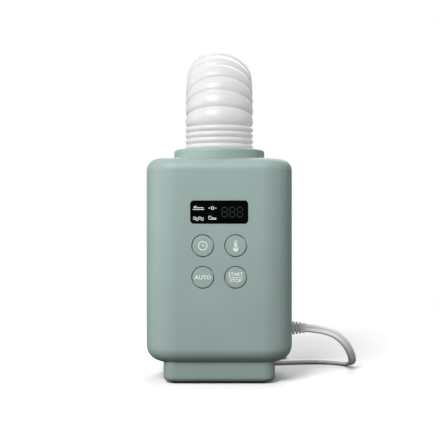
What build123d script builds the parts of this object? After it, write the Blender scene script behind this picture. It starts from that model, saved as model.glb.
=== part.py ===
from build123d import *
import os
from math import cos, pi, radians, sin, tan

os.makedirs("parts", exist_ok=True)

# A bedding dryer: a rounded case on a plinth, with a blower and a heater inside, and an accordion
# hose that arches from the top over to a flat nozzle docked on the back. Millimetres, +Z up,
# -Y is the front. The origin is on the standing surface, under the axis of the hose outlet.

# Case
BODY_WIDTH = 156.0
BODY_DEPTH = 126.0
BODY_HEIGHT = 216.2
BODY_FRONT = -56.0
BODY_BOTTOM = 21.7
CORNER_RADIUS = 34.0
TOP_FILLET = 13.0
BOTTOM_FILLET = 17.0
WALL = 2.4
SEAM_Y = 7.0
SLACK = 0.15
FACE_GAP = 0.1

# Plinth, base plate and rubber foot ring
PLINTH_SIDE_INSET = 18.75
PLINTH_FRONT_INSET = 10.0
PLINTH_REAR_INSET = 12.0
PLINTH_CORNER = 13.0
PLINTH_FILLET = 5.5
PLINTH_WALL = 2.6
FOOT_PROUD = 1.5
FOOT_SUNK = 1.0
FOOT_BAND = 7.0
FOOT_INSET = 9.0
BASE_PLATE_THICK = 2.4

# Outlet collar
COLLAR_RIM = 12.4
COLLAR_STEP = 3.4
COLLAR_HEIGHT = 10.8
COLLAR_FILLET = 3.0
COLLAR_LIP = 9.0

# Accordion hose
HOSE_CREST = 37.0
FOLD_DEPTH = 2.7
HOSE_WALL = 1.0
HOSE_CUFF_WALL = 3.4
PACKED_PITCH = 6.35
LOWER_FOLDS = 4
END_FOLDS = 3
BEND_RADIUS = 58.0
LINKS = 5
FOLDS_PER_LINK = 3
RING_HALF_ANGLE = 1.5
SKIN_GAP_ANGLE = 0.3
CREST_SHARE = 0.6
RING_STEP = 1.2

# Nozzle and flap
NOZZLE_COLLAR_WALL = 2.5
NOZZLE_COLLAR_HEIGHT = 17.0
GRIP_GROOVES = 36
GRIP_GROOVE_RADIUS = 0.9
NOZZLE_SHOULDER_WIDTH = 116.0
NOZZLE_SHOULDER_THICK = 30.0
NOZZLE_MOUTH_WIDTH = 126.0
NOZZLE_MOUTH_THICK = 36.0
NOZZLE_TAPER_HEIGHT = 48.0
NOZZLE_BLADE_HEIGHT = 78.0
NOZZLE_WALL = 2.2
NOZZLE_FIN_THICK = 1.6
NOZZLE_FIN_DEPTH = 9.0
NOZZLE_FIN_COUNT = 7
NOZZLE_FIN_PITCH = 13.0
GRILLE_LIFT = 46.0
FLAP_WIDTH = 100.0
FLAP_THICK = 2.6
FLAP_BARREL = 3.2
FLAP_GAP = 1.2
FLAP_PIN_RADIUS = 1.5
FLAP_EAR_THICK = 3.0
FLAP_SIDE_GAP = 0.4
FLAP_CORNER = 10.0
FLAP_BARREL_DROP = 6.0
RUNNING_FIT = 0.05

# Nozzle dock on the back of the case
DOCK_PLATE = 3.0
DOCK_ARM_THICK = 3.0
DOCK_HEIGHT = 36.0
DOCK_ABOVE_MOUTH = 20.0
DOCK_SIDE_GAP = 0.8
DOCK_FACE_GAP = 1.0
DOCK_SADDLE_WIDTH = 56.0

# Display, buttons and control board
WINDOW_WIDTH = 60.2
WINDOW_HEIGHT = 24.1
WINDOW_CORNER = 3.8
WINDOW_DROP = 57.3
WINDOW_THICK = 2.0
BUTTON_RADIUS = 10.9
BUTTON_GAP = 1.0
BUTTON_SPACING = 34.2
BUTTON_ROW_DROP = 92.3
BUTTON_ROW_STEP = 32.9
BUTTON_TRAVEL = 0.8
BUTTON_CAP_DEPTH = 2.3
BUTTON_FLANGE = 1.6
BUTTON_FLANGE_THICK = 1.1
BUTTON_STEM_RADIUS = 2.4
BUTTON_STEM_LENGTH = 2.6
BUTTON_EDGE = 0.4
BOARD_THICK = 1.6
BOARD_MARGIN = 9.0
SWITCH_SIZE = 6.0
SWITCH_HEIGHT = 2.4
BOARD_POST_RADIUS = 3.2
BOARD_SCREW_RADIUS = 1.3
BOARD_SCREW_HEAD = 2.6
BOARD_SCREW_HEAD_THICK = 2.0
BOARD_POST_INSET = 4.0
MODULE_SIDE_INSET = 4.0
MODULE_END_INSET = 2.5

# Blower
BOARD_ROOM = 49.6
SCROLL_DEPTH = 44.0
SCROLL_FRONT = -20.0
SCROLL_WALL = 2.0
SCROLL_SIDE_GAP = 1.6
SCROLL_FLOOR_GAP = 10.0
SCROLL_THROAT = 16.0
FAN_OFFSET = 3.0
FAN_ROUND_GAP = 12.0
FAN_END_GAP = 6.0
FAN_INLET_STEP = 8.0
FAN_BLADES = 30
FAN_BLADE_THICK = 0.9
FAN_BLADE_CHORD = 7.0
FAN_PLATE = 1.6
FAN_HUB_RADIUS = 7.0
SHAFT_RADIUS = 2.5
MOTOR_RADIUS = 25.0
MOTOR_LENGTH = 20.0
MOTOR_PLATE = 2.0
MOTOR_PLATE_RIM = 5.0
LUG_RADIUS = 4.2
LUG_SCREW_RADIUS = 1.5

# Heater
HEATER_DUCT_WALL = 0.8
OUTLET_DUCT_HEIGHT = 22.0
OUTLET_DUCT_WALL = 2.0
MICA_THICK = 1.0
MICA_HALF = 15.4
COIL_WIRE = 0.8
COIL_PITCH = 4.0
HEATER_END_GAP = 6.0
THERMOSTAT_RADIUS = 8.0
THERMOSTAT_THICK = 5.0
FUSE_RADIUS = 1.9
FUSE_LENGTH = 18.0

# Power board
POWER_BOARD_GAP = 11.0
POWER_BOARD_DEPTH = 62.0
POWER_BOARD_HEIGHT = 84.0
POWER_BOARD_LIFT = 48.0
RELAY = (14.0, 19.0, 15.5)
CHOKE = (18.0, 24.0, 22.0)
TERMINAL_BLOCK = (12.0, 30.0, 10.0)
CAPACITOR_RADIUS = 6.0
CAPACITOR_LENGTH = 16.0

# Intake
INTAKE_CORNER_GAP = 6.0
INTAKE_HEIGHT = 62.0
INTAKE_LIFT = 20.0
COVER_THICK = 3.0
COVER_GAP = 0.5
COVER_RIM = 5.0
COVER_SLAT = 2.2
COVER_SLAT_PITCH = 5.2
COVER_PIN_RADIUS = 1.0
COVER_EAR = 4.0
COVER_PULL = (18.0, 2.0, 3.0)
MESH_THICK = 1.2
MESH_MARGIN = 4.0
MESH_BARS = 7

# Case screws
SCREW_RADIUS = 1.5
SCREW_CLEARANCE = 0.2
SCREW_SHANK = 36.0
SCREW_HEAD_RADIUS = 3.0
SCREW_HEAD_DEPTH = 2.4
BOSS_RADIUS = 4.6
BOSS_SIDE_INSET = 16.0
BOSS_END_INSET = 16.0
SCREW_BITE = 12.0

# Mains cord, its strain relief and its plug
CORD_THICK = 5.0
FLOOR_GAP = 0.1
BUSHING_LENGTH = 17.6
BUSHING_HEIGHT = 15.7
BUSHING_DEPTH = 11.0
BUSHING_TIP_HEIGHT = 11.6
BUSHING_TIP_DEPTH = 7.4
BUSHING_Y = 20.0
BUSHING_Z = 51.8
BUSHING_NECK_HEIGHT = 11.0
BUSHING_NECK_DEPTH = 7.0
BUSHING_CORNER = 2.4
BUSHING_RIBS = 5
BUSHING_RIB_THICK = 2.2
BUSHING_GROOVE = 1.2
CLAMP = (10.0, 22.0, 8.0)
CLAMP_HOLE = 1.6
COIL_X = 24.0
COIL_Y = 144.0
COIL_MIDDLE = 52.0
COIL_BAND = 22.0
COIL_HEIGHT = 15.6
COIL_FILLET = 3.0
TIE_WIDTH = 8.0
TIE_THICK = 1.2
PLUG_Y = 78.0
PLUG_TAIL_X = 8.0
PLUG_TAIL_LENGTH = 26.0
PLUG_LENGTH = 30.0
PLUG_WIDTH = 24.0
PLUG_THICK = 16.0
PLUG_CORNER = 4.0
PLUG_TAIL_ROOT = (14.0, 9.0, 3.0)
PLUG_TAIL_TIP = (11.0, 6.4, 2.4)
PLUG_TAIL_SINK = 1.5
BLADE_LENGTH = 17.0
BLADE_HEIGHT = 6.3
BLADE_THICK = 1.5
BLADE_SPACING = 12.7
BLADE_HOLE = 1.5
BLADE_HOLE_INSET = 3.5

# Heights, depths and lines worked out from the sizes above
BODY_TOP = BODY_BOTTOM + BODY_HEIGHT
BODY_REAR = BODY_FRONT + BODY_DEPTH
BODY_MID_Y = BODY_FRONT + BODY_DEPTH / 2
INNER_HALF = BODY_WIDTH / 2 - WALL
INNER_FRONT = BODY_FRONT + WALL
INNER_REAR = BODY_REAR - WALL
COLLAR_RADIUS = HOSE_CREST + COLLAR_RIM
HOSE_VALLEY = HOSE_CREST - FOLD_DEPTH
NOZZLE_COLLAR_RADIUS = HOSE_CREST + NOZZLE_COLLAR_WALL
PLINTH_WIDTH = BODY_WIDTH - 2 * PLINTH_SIDE_INSET
INTAKE_WIDTH = BODY_WIDTH - 2 * (CORNER_RADIUS + INTAKE_CORNER_GAP)
SCREW_HEAD_Y = SEAM_Y + SCREW_SHANK
COLLAR_TOP = BODY_TOP + COLLAR_HEIGHT
ARCH_Z = COLLAR_TOP + LOWER_FOLDS * PACKED_PITCH
NOZZLE_Y = 2 * BEND_RADIUS
LINK_ANGLE = 180.0 / LINKS
FOLD_ANGLE = LINK_ANGLE / FOLDS_PER_LINK
ARCH_AXIS = Axis((0, BEND_RADIUS, ARCH_Z), (-1, 0, 0))
SCROLL_RADIUS = (2 * INNER_HALF - SCROLL_SIDE_GAP - BOARD_ROOM) / 2
SCROLL_X = -(INNER_HALF - SCROLL_SIDE_GAP - SCROLL_RADIUS)
SCROLL_Z = BODY_BOTTOM + WALL + SCROLL_FLOOR_GAP + SCROLL_RADIUS
SCROLL_TOP = SCROLL_Z + SCROLL_RADIUS + SCROLL_THROAT
SCROLL_REAR = SCROLL_FRONT + SCROLL_DEPTH
SCROLL_SEAM = SCROLL_FRONT + SCROLL_DEPTH / 2
FAN_RADIUS = SCROLL_RADIUS - FAN_ROUND_GAP
FAN_INLET = FAN_RADIUS - FAN_INLET_STEP
FAN_DEPTH = SCROLL_DEPTH - 2 * FAN_END_GAP
FAN_X = SCROLL_X + FAN_OFFSET
FAN_Z = SCROLL_Z + FAN_OFFSET / 2
THROAT_X = SCROLL_X + SCROLL_RADIUS / 2
THROAT_Y = SCROLL_FRONT + SCROLL_DEPTH / 2
CUFF_BOTTOM = BODY_TOP - WALL - COLLAR_LIP
HEATER_TOP = CUFF_BOTTOM - OUTLET_DUCT_HEIGHT
BUTTON_ROWS = [BODY_TOP - BUTTON_ROW_DROP, BODY_TOP - BUTTON_ROW_DROP - BUTTON_ROW_STEP]
WINDOW_Z = BODY_TOP - WINDOW_DROP
FLANGE_FRONT = INNER_FRONT + FACE_GAP
STEM_END = FLANGE_FRONT + BUTTON_FLANGE_THICK + BUTTON_STEM_LENGTH
BOARD_FRONT = STEM_END + BUTTON_TRAVEL + SLACK + SWITCH_HEIGHT
BOARD_TOP = WINDOW_Z + WINDOW_HEIGHT / 2 + BOARD_MARGIN
BOARD_BOTTOM = BUTTON_ROWS[1] - BUTTON_RADIUS - BOARD_MARGIN
BOARD_WIDTH = WINDOW_WIDTH + 2 * BOARD_MARGIN
FRONT_POSTS = [
    (sx * (BOARD_WIDTH / 2 - BOARD_POST_INSET), z)
    for sx in (-1, 1)
    for z in (BOARD_BOTTOM + BOARD_POST_INSET, BOARD_TOP - BOARD_POST_INSET)
]
SEAM_BOSSES = [
    (sx * (BODY_WIDTH / 2 - BOSS_SIDE_INSET), z)
    for sx in (-1, 1)
    for z in (BODY_BOTTOM + BOSS_END_INSET, BODY_TOP - BOSS_END_INSET)
]
LUG_REACH = SCROLL_RADIUS + LUG_RADIUS - 0.6
LUGS = [
    (SCROLL_X + LUG_REACH * cos(radians(a)), SCROLL_Z + LUG_REACH * sin(radians(a)))
    for a in (140, 215, 325)
]


def facing_front(y):
    """The plane at depth y whose sketch axes are X and Z; a negative extrusion goes to the rear."""
    return Plane.XZ.offset(-y)


def write_step(piece, name):
    piece.part.label = name
    export_step(piece.part, f"parts/{name}.step")


def case_block(inset):
    """The case's outer form, or the form that lies inset inside it."""
    with BuildPart() as block:
        with BuildSketch(Plane.XY.offset(BODY_BOTTOM + inset)):
            with Locations((0, BODY_MID_Y)):
                RectangleRounded(BODY_WIDTH - 2 * inset, BODY_DEPTH - 2 * inset, CORNER_RADIUS - inset)
        extrude(amount=BODY_HEIGHT - 2 * inset)
        fillet(block.faces().sort_by(Axis.Z)[-1].edges(), TOP_FILLET - inset)
        fillet(block.faces().sort_by(Axis.Z)[0].edges(), BOTTOM_FILLET - inset)
    return block.part


def posts(places, radius, y_from, y_to, hole):
    """Round posts along Y that stop inside the case wall, each with a blind hole from y_to."""
    with BuildPart() as group:
        with BuildSketch(facing_front(y_from)):
            with Locations(*places):
                Circle(radius)
        extrude(amount=y_from - y_to)
        add(case_block(WALL / 2), mode=Mode.INTERSECT)
        with BuildSketch(facing_front(y_to)):
            with Locations(*places):
                Circle(hole)
        extrude(amount=SCREW_BITE if y_to > y_from else -SCREW_BITE, mode=Mode.SUBTRACT)
    return group.part


OUTER = case_block(0)
INNER = case_block(WALL)

# Front case: the moulded shell in front of the seam, with its window, button holes and screw posts
with BuildPart() as front_case:
    add(OUTER)
    add(INNER, mode=Mode.SUBTRACT)
    split(bisect_by=facing_front(SEAM_Y), keep=Keep.TOP)
    with BuildSketch(facing_front(BODY_FRONT)):
        with Locations((0, WINDOW_Z)):
            RectangleRounded(WINDOW_WIDTH + 2 * SLACK, WINDOW_HEIGHT + 2 * SLACK, WINDOW_CORNER + SLACK)
        with Locations(*[(sx * BUTTON_SPACING / 2, z) for sx in (-1, 1) for z in BUTTON_ROWS]):
            Circle(BUTTON_RADIUS + BUTTON_GAP)
    extrude(amount=-2 * WALL, mode=Mode.SUBTRACT)
    with BuildSketch(Plane.XY.offset(BODY_TOP)):
        Circle(COLLAR_RADIUS - COLLAR_STEP)
    extrude(amount=-2 * TOP_FILLET, mode=Mode.SUBTRACT)
    add(posts(FRONT_POSTS, BOARD_POST_RADIUS, BODY_FRONT, BOARD_FRONT, BOARD_SCREW_RADIUS))
    add(posts(LUGS, LUG_RADIUS, BODY_FRONT, SCROLL_FRONT, LUG_SCREW_RADIUS))
    add(posts(SEAM_BOSSES, BOSS_RADIUS, BODY_FRONT, SEAM_Y, SCREW_RADIUS))
write_step(front_case, "front_case")

# Rear case: the shell behind the seam, with the intake opening, cord hole and recessed screw bosses
INTAKE_BOTTOM = BODY_BOTTOM + INTAKE_LIFT
INTAKE_Z = INTAKE_BOTTOM + INTAKE_HEIGHT / 2
COVER_AXIS_Y = BODY_REAR + COVER_THICK / 2
COVER_AXIS_Z = INTAKE_BOTTOM + COVER_GAP + COVER_THICK / 2
with BuildPart() as rear_case:
    add(OUTER)
    add(INNER, mode=Mode.SUBTRACT)
    split(bisect_by=facing_front(SEAM_Y), keep=Keep.BOTTOM)
    with BuildSketch(Plane.XY.offset(BODY_TOP)):
        Circle(COLLAR_RADIUS - COLLAR_STEP)
    extrude(amount=-2 * TOP_FILLET, mode=Mode.SUBTRACT)
    add(posts(SEAM_BOSSES, BOSS_RADIUS, BODY_REAR, SEAM_Y, SCREW_RADIUS + SCREW_CLEARANCE))
    with BuildSketch(facing_front(SEAM_Y)):
        with Locations(*SEAM_BOSSES):
            Circle(SCREW_RADIUS + SCREW_CLEARANCE)
    extrude(amount=SEAM_Y - BODY_REAR - 1, mode=Mode.SUBTRACT)
    with BuildSketch(facing_front(SCREW_HEAD_Y)):
        with Locations(*SEAM_BOSSES):
            Circle(SCREW_HEAD_RADIUS + 2 * SLACK)
    extrude(amount=SCREW_HEAD_Y - BODY_REAR - 1, mode=Mode.SUBTRACT)
    with BuildSketch(facing_front(BODY_REAR)):
        with Locations((0, INTAKE_Z)):
            Rectangle(INTAKE_WIDTH, INTAKE_HEIGHT)
    extrude(amount=2 * WALL, mode=Mode.SUBTRACT)
    with Locations(*[
        (sx * (INTAKE_WIDTH / 2 + COVER_EAR / 2), COVER_AXIS_Y, COVER_AXIS_Z) for sx in (-1, 1)
    ]):
        Box(COVER_EAR, COVER_THICK, COVER_THICK + 2)
    with Locations((0, COVER_AXIS_Y, COVER_AXIS_Z)):
        Cylinder(
            COVER_PIN_RADIUS + RUNNING_FIT,
            INTAKE_WIDTH + 2 * COVER_EAR - 2,
            rotation=(0, 90, 0),
            mode=Mode.SUBTRACT,
        )
    with Locations((BODY_WIDTH / 2, BUSHING_Y, BUSHING_Z)):
        Box(4 * WALL, BUSHING_NECK_DEPTH + SLACK, BUSHING_NECK_HEIGHT + SLACK, mode=Mode.SUBTRACT)
write_step(rear_case, "rear_case")

# Outlet collar: the ring on top of the case, seated on its curved shoulder, with a spigot through the case
with BuildPart() as outlet_collar:
    with BuildSketch(Plane.XY.offset(BODY_TOP - TOP_FILLET)):
        Circle(COLLAR_RADIUS)
    extrude(amount=TOP_FILLET + COLLAR_HEIGHT)
    fillet(outlet_collar.faces().sort_by(Axis.Z)[-1].edges(), COLLAR_FILLET)
    add(OUTER, mode=Mode.SUBTRACT)
    with BuildSketch(Plane.XY.offset(CUFF_BOTTOM)):
        Circle(COLLAR_RADIUS - COLLAR_STEP - SLACK)
    extrude(amount=BODY_TOP + 1 - CUFF_BOTTOM)
    with BuildSketch(Plane.XY.offset(CUFF_BOTTOM)):
        Circle(HOSE_CREST + SLACK)
    extrude(amount=COLLAR_TOP - CUFF_BOTTOM, mode=Mode.SUBTRACT)
write_step(outlet_collar, "outlet_collar")

# Plinth: the narrower open-bottomed foot under the case, its top edge following the case
PLINTH_FRONT = BODY_FRONT + PLINTH_FRONT_INSET
PLINTH_REAR = BODY_REAR - PLINTH_REAR_INSET
PLINTH_MID_Y = (PLINTH_FRONT + PLINTH_REAR) / 2
PLINTH_DEPTH = PLINTH_REAR - PLINTH_FRONT
BASE_SCREWS = [
    (sx * (PLINTH_WIDTH / 2 - PLINTH_WALL - 7), PLINTH_MID_Y + sy * (PLINTH_DEPTH / 2 - PLINTH_WALL - 7))
    for sx in (-1, 1)
    for sy in (-1, 1)
]


def plinth_outline(inset):
    corner = max(PLINTH_CORNER - inset, 2)
    with BuildSketch() as outline:
        with Locations((0, PLINTH_MID_Y)):
            RectangleRounded(PLINTH_WIDTH - 2 * inset, PLINTH_DEPTH - 2 * inset, corner)
    return outline.sketch


with BuildPart() as plinth:
    with BuildSketch(Plane.XY.offset(FOOT_PROUD)):
        add(plinth_outline(0))
    extrude(amount=BODY_BOTTOM + BOTTOM_FILLET / 2 - FOOT_PROUD)
    fillet(plinth.faces().sort_by(Axis.Z)[0].edges(), PLINTH_FILLET)
    with BuildSketch(Plane.XY.offset(FOOT_PROUD)):
        add(plinth_outline(PLINTH_FILLET))
    extrude(amount=BASE_PLATE_THICK, mode=Mode.SUBTRACT)
    with BuildSketch(Plane.XY.offset(FOOT_PROUD + BASE_PLATE_THICK)):
        add(plinth_outline(PLINTH_WALL + 1))
    extrude(amount=BODY_BOTTOM + BOTTOM_FILLET, mode=Mode.SUBTRACT)
    add(OUTER, mode=Mode.SUBTRACT)
    with BuildSketch(Plane.XY.offset(FOOT_PROUD + BASE_PLATE_THICK)):
        with Locations(*BASE_SCREWS):
            Circle(SCREW_HEAD_RADIUS + 1)
            Circle(SCREW_RADIUS, mode=Mode.SUBTRACT)
    extrude(amount=BODY_BOTTOM - FOOT_PROUD - BASE_PLATE_THICK)
write_step(plinth, "plinth")

# Base plate: the flat cover that closes the plinth from below
with BuildPart() as base_plate:
    with BuildSketch(Plane.XY.offset(FOOT_PROUD)):
        add(plinth_outline(PLINTH_FILLET + SLACK))
    extrude(amount=BASE_PLATE_THICK)
    with BuildSketch(Plane.XY.offset(FOOT_PROUD)):
        add(plinth_outline(FOOT_INSET))
        add(plinth_outline(FOOT_INSET + FOOT_BAND), mode=Mode.SUBTRACT)
    extrude(amount=FOOT_SUNK, mode=Mode.SUBTRACT)
    with BuildSketch(Plane.XY.offset(FOOT_PROUD)):
        with Locations(*BASE_SCREWS):
            Circle(SCREW_RADIUS + SCREW_CLEARANCE)
    extrude(amount=BASE_PLATE_THICK, mode=Mode.SUBTRACT)
write_step(base_plate, "base_plate")

# Foot ring: one soft rubber ring pressed into the groove of the base plate
with BuildPart() as foot_ring:
    with BuildSketch():
        add(plinth_outline(FOOT_INSET + SLACK))
        add(plinth_outline(FOOT_INSET + FOOT_BAND - SLACK), mode=Mode.SUBTRACT)
    extrude(amount=FOOT_PROUD + FOOT_SUNK)
write_step(foot_ring, "foot_ring")

# Base screws: they pass the base plate into the plinth's posts, under the foot ring's groove
with BuildPart() as base_screws:
    with BuildSketch(Plane.XY.offset(FOOT_PROUD + FOOT_SUNK + FACE_GAP)):
        with Locations(*BASE_SCREWS):
            Circle(SCREW_RADIUS)
    extrude(amount=SCREW_BITE)
write_step(base_screws, "base_screws")

# Case screws: they come in from the back and pull the two shells together
with BuildPart() as case_screws:
    with BuildSketch(facing_front(SEAM_Y - SCREW_BITE + 1)):
        with Locations(*SEAM_BOSSES):
            Circle(SCREW_RADIUS)
    extrude(amount=SEAM_Y - SCREW_BITE + 1 - SCREW_HEAD_Y)
    with BuildSketch(facing_front(SCREW_HEAD_Y)):
        with Locations(*SEAM_BOSSES):
            Circle(SCREW_HEAD_RADIUS)
    extrude(amount=-SCREW_HEAD_DEPTH)
write_step(case_screws, "case_screws")

# Display window: a dark clear plate, flush in the front case
with BuildPart() as display_window:
    with BuildSketch(facing_front(BODY_FRONT + FACE_GAP)):
        with Locations((0, WINDOW_Z)):
            RectangleRounded(WINDOW_WIDTH, WINDOW_HEIGHT, WINDOW_CORNER)
    extrude(amount=-WINDOW_THICK)
write_step(display_window, "display_window")

# Display module: the block of light-emitting digits behind the window, on the control board
with BuildPart() as display_module:
    with Locations((0, (FLANGE_FRONT + BOARD_FRONT) / 2, WINDOW_Z)):
        Box(
            WINDOW_WIDTH - 2 * MODULE_SIDE_INSET,
            BOARD_FRONT - FLANGE_FRONT,
            WINDOW_HEIGHT - 2 * MODULE_END_INSET,
        )
write_step(display_module, "display_module")

# Control board: the circuit board behind the buttons and the display
with BuildPart() as control_board:
    with BuildSketch(facing_front(BOARD_FRONT)):
        with Locations((0, (BOARD_TOP + BOARD_BOTTOM) / 2)):
            Rectangle(BOARD_WIDTH, BOARD_TOP - BOARD_BOTTOM)
        with Locations(*FRONT_POSTS):
            Circle(BOARD_SCREW_RADIUS + SCREW_CLEARANCE, mode=Mode.SUBTRACT)
    extrude(amount=-BOARD_THICK)
write_step(control_board, "control_board")

# Board screws: they hold the control board to the front case's posts
with BuildPart() as board_screws:
    with BuildSketch(facing_front(BOARD_FRONT + BOARD_THICK)):
        with Locations(*FRONT_POSTS):
            Circle(BOARD_SCREW_HEAD)
    extrude(amount=-BOARD_SCREW_HEAD_THICK)
    with BuildSketch(facing_front(BOARD_FRONT + BOARD_THICK)):
        with Locations(*FRONT_POSTS):
            Circle(BOARD_SCREW_RADIUS)
    extrude(amount=BOARD_THICK + 3)
write_step(board_screws, "board_screws")

# Tactile switches: one on the control board under each button
BUTTON_PLACES = {
    "button_timer": (-BUTTON_SPACING / 2, BUTTON_ROWS[0]),
    "button_temperature": (BUTTON_SPACING / 2, BUTTON_ROWS[0]),
    "button_auto": (-BUTTON_SPACING / 2, BUTTON_ROWS[1]),
    "button_start": (BUTTON_SPACING / 2, BUTTON_ROWS[1]),
}
with BuildPart() as tact_switches:
    with BuildSketch(facing_front(BOARD_FRONT)):
        with Locations(*BUTTON_PLACES.values()):
            Rectangle(SWITCH_SIZE, SWITCH_SIZE)
    extrude(amount=SWITCH_HEIGHT * 0.7)
    with BuildSketch(facing_front(BOARD_FRONT)):
        with Locations(*BUTTON_PLACES.values()):
            Circle(SWITCH_SIZE / 4)
    extrude(amount=SWITCH_HEIGHT)
write_step(tact_switches, "tact_switches")

# Buttons: round caps flush with the front, each with a flange behind the wall and a stem to its switch
for button_name, place in BUTTON_PLACES.items():
    with BuildPart() as button:
        with BuildSketch(facing_front(FLANGE_FRONT)):
            with Locations(place):
                Circle(BUTTON_RADIUS)
        extrude(amount=FLANGE_FRONT - BODY_FRONT)
        fillet(button.faces().sort_by(Axis.Y)[0].edges(), BUTTON_EDGE)
        with BuildSketch(facing_front(FLANGE_FRONT)):
            with Locations(place):
                Circle(BUTTON_RADIUS + BUTTON_FLANGE)
        extrude(amount=-BUTTON_FLANGE_THICK)
        with BuildSketch(facing_front(FLANGE_FRONT)):
            with Locations(place):
                Circle(BUTTON_STEM_RADIUS)
        extrude(amount=FLANGE_FRONT - STEM_END)
    write_step(button, button_name)


def scroll_block(inset, y_from, y_to, over):
    """The scroll's snail outline, inset from its outside, between two depths; over lengthens the throat."""
    with BuildPart() as block:
        with BuildSketch(facing_front(y_from)):
            with Locations((SCROLL_X, SCROLL_Z)):
                Circle(SCROLL_RADIUS - inset)
            with Locations((THROAT_X, (SCROLL_Z + SCROLL_TOP + over) / 2)):
                Rectangle(SCROLL_RADIUS - 2 * inset, SCROLL_TOP + over - SCROLL_Z)
        extrude(amount=y_from - y_to)
    return block.part


def scroll_half(y_from, y_to, floor_from, floor_to, eye, eye_at):
    """One half of the blower housing: a snail tray with lugs round it and an eye in its floor."""
    with BuildPart() as half:
        with BuildSketch(facing_front(y_from)):
            with Locations(*LUGS):
                Circle(LUG_RADIUS)
        extrude(amount=y_from - y_to)
        add(scroll_block(0, y_from, y_to, 0))
        add(scroll_block(SCROLL_WALL, floor_from, floor_to, 1), mode=Mode.SUBTRACT)
        with BuildSketch(facing_front(SCROLL_FRONT)):
            with Locations(*LUGS):
                Circle(LUG_SCREW_RADIUS + SCREW_CLEARANCE)
        extrude(amount=-SCROLL_DEPTH, mode=Mode.SUBTRACT)
        with BuildSketch(facing_front(eye_at)):
            with Locations((FAN_X, FAN_Z)):
                Circle(eye)
        extrude(amount=-SCROLL_WALL, mode=Mode.SUBTRACT)
    return half


# Scroll front: the half that carries the motor
scroll_front = scroll_half(
    SCROLL_FRONT, SCROLL_SEAM, SCROLL_FRONT + SCROLL_WALL, SCROLL_SEAM, SHAFT_RADIUS + 4, SCROLL_FRONT
)
write_step(scroll_front, "scroll_front")

# Scroll rear: the half with the round air inlet
scroll_rear = scroll_half(
    SCROLL_SEAM, SCROLL_REAR, SCROLL_SEAM, SCROLL_REAR - SCROLL_WALL, FAN_INLET, SCROLL_REAR - SCROLL_WALL
)
write_step(scroll_rear, "scroll_rear")

# Scroll screws: through both halves into the long posts of the front case
with BuildPart() as scroll_screws:
    with BuildSketch(facing_front(SCROLL_FRONT - SCREW_BITE + 1)):
        with Locations(*LUGS):
            Circle(LUG_SCREW_RADIUS)
    extrude(amount=-(SCROLL_DEPTH + SCREW_BITE - 1))
    with BuildSketch(facing_front(SCROLL_REAR)):
        with Locations(*LUGS):
            Circle(SCREW_HEAD_RADIUS)
    extrude(amount=-SCREW_HEAD_DEPTH)
write_step(scroll_screws, "scroll_screws")

# Motor plate and fan motor, in front of the scroll
MOTOR_REAR = SCROLL_FRONT - MOTOR_PLATE
with BuildPart() as motor_mount:
    with BuildSketch(facing_front(MOTOR_REAR)):
        with Locations((FAN_X, FAN_Z)):
            Circle(MOTOR_RADIUS + MOTOR_PLATE_RIM)
            Circle(SHAFT_RADIUS + 3, mode=Mode.SUBTRACT)
    extrude(amount=-MOTOR_PLATE)
write_step(motor_mount, "motor_mount")

with BuildPart() as fan_motor:
    with BuildSketch(facing_front(MOTOR_REAR)):
        with Locations((FAN_X, FAN_Z)):
            Circle(MOTOR_RADIUS)
    extrude(amount=MOTOR_LENGTH)
    chamfer(fan_motor.faces().sort_by(Axis.Y)[0].edges(), 2)
    with BuildSketch(facing_front(MOTOR_REAR)):
        with Locations((FAN_X, FAN_Z)):
            Circle(SHAFT_RADIUS + RUNNING_FIT)
    extrude(amount=MOTOR_LENGTH, mode=Mode.SUBTRACT)
write_step(fan_motor, "fan_motor")

with BuildPart() as motor_shaft:
    with BuildSketch(facing_front(MOTOR_REAR - MOTOR_LENGTH + 1)):
        with Locations((FAN_X, FAN_Z)):
            Circle(SHAFT_RADIUS)
    extrude(amount=MOTOR_REAR - MOTOR_LENGTH + 1 - SCROLL_SEAM)
write_step(motor_shaft, "motor_shaft")

# Impeller: a drum of forward blades on a back plate, pressed on the shaft
FAN_BACK = SCROLL_FRONT + FAN_END_GAP
with BuildPart() as impeller:
    with BuildSketch(facing_front(FAN_BACK)):
        with Locations((FAN_X, FAN_Z)):
            Circle(FAN_RADIUS)
            Circle(SHAFT_RADIUS, mode=Mode.SUBTRACT)
    extrude(amount=-FAN_PLATE)
    with BuildSketch(facing_front(FAN_BACK + FAN_PLATE)):
        with Locations((FAN_X, FAN_Z)):
            Circle(FAN_HUB_RADIUS)
            Circle(SHAFT_RADIUS, mode=Mode.SUBTRACT)
    extrude(amount=FAN_BACK + FAN_PLATE - SCROLL_SEAM)
    with BuildSketch(facing_front(FAN_BACK + FAN_PLATE)):
        with Locations((FAN_X, FAN_Z)):
            with PolarLocations(FAN_RADIUS - FAN_BLADE_CHORD / 2, FAN_BLADES):
                Rectangle(FAN_BLADE_CHORD - 0.4, FAN_BLADE_THICK, rotation=25)
    extrude(amount=-(FAN_DEPTH - FAN_PLATE))
    with BuildSketch(facing_front(FAN_BACK + FAN_DEPTH)):
        with Locations((FAN_X, FAN_Z)):
            Circle(FAN_RADIUS)
            Circle(FAN_RADIUS - 3, mode=Mode.SUBTRACT)
    extrude(amount=2)
write_step(impeller, "impeller")

# Heater duct: a sheet-metal tube that stands on the blower's throat
with BuildPart() as heater_duct:
    with BuildSketch(Plane.XY.offset(SCROLL_TOP)):
        with Locations((THROAT_X, THROAT_Y)):
            Rectangle(SCROLL_RADIUS, SCROLL_DEPTH)
            Rectangle(
                SCROLL_RADIUS - 2 * HEATER_DUCT_WALL, SCROLL_DEPTH - 2 * HEATER_DUCT_WALL, mode=Mode.SUBTRACT
            )
    extrude(amount=HEATER_TOP - SCROLL_TOP)
write_step(heater_duct, "heater_duct")

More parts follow.
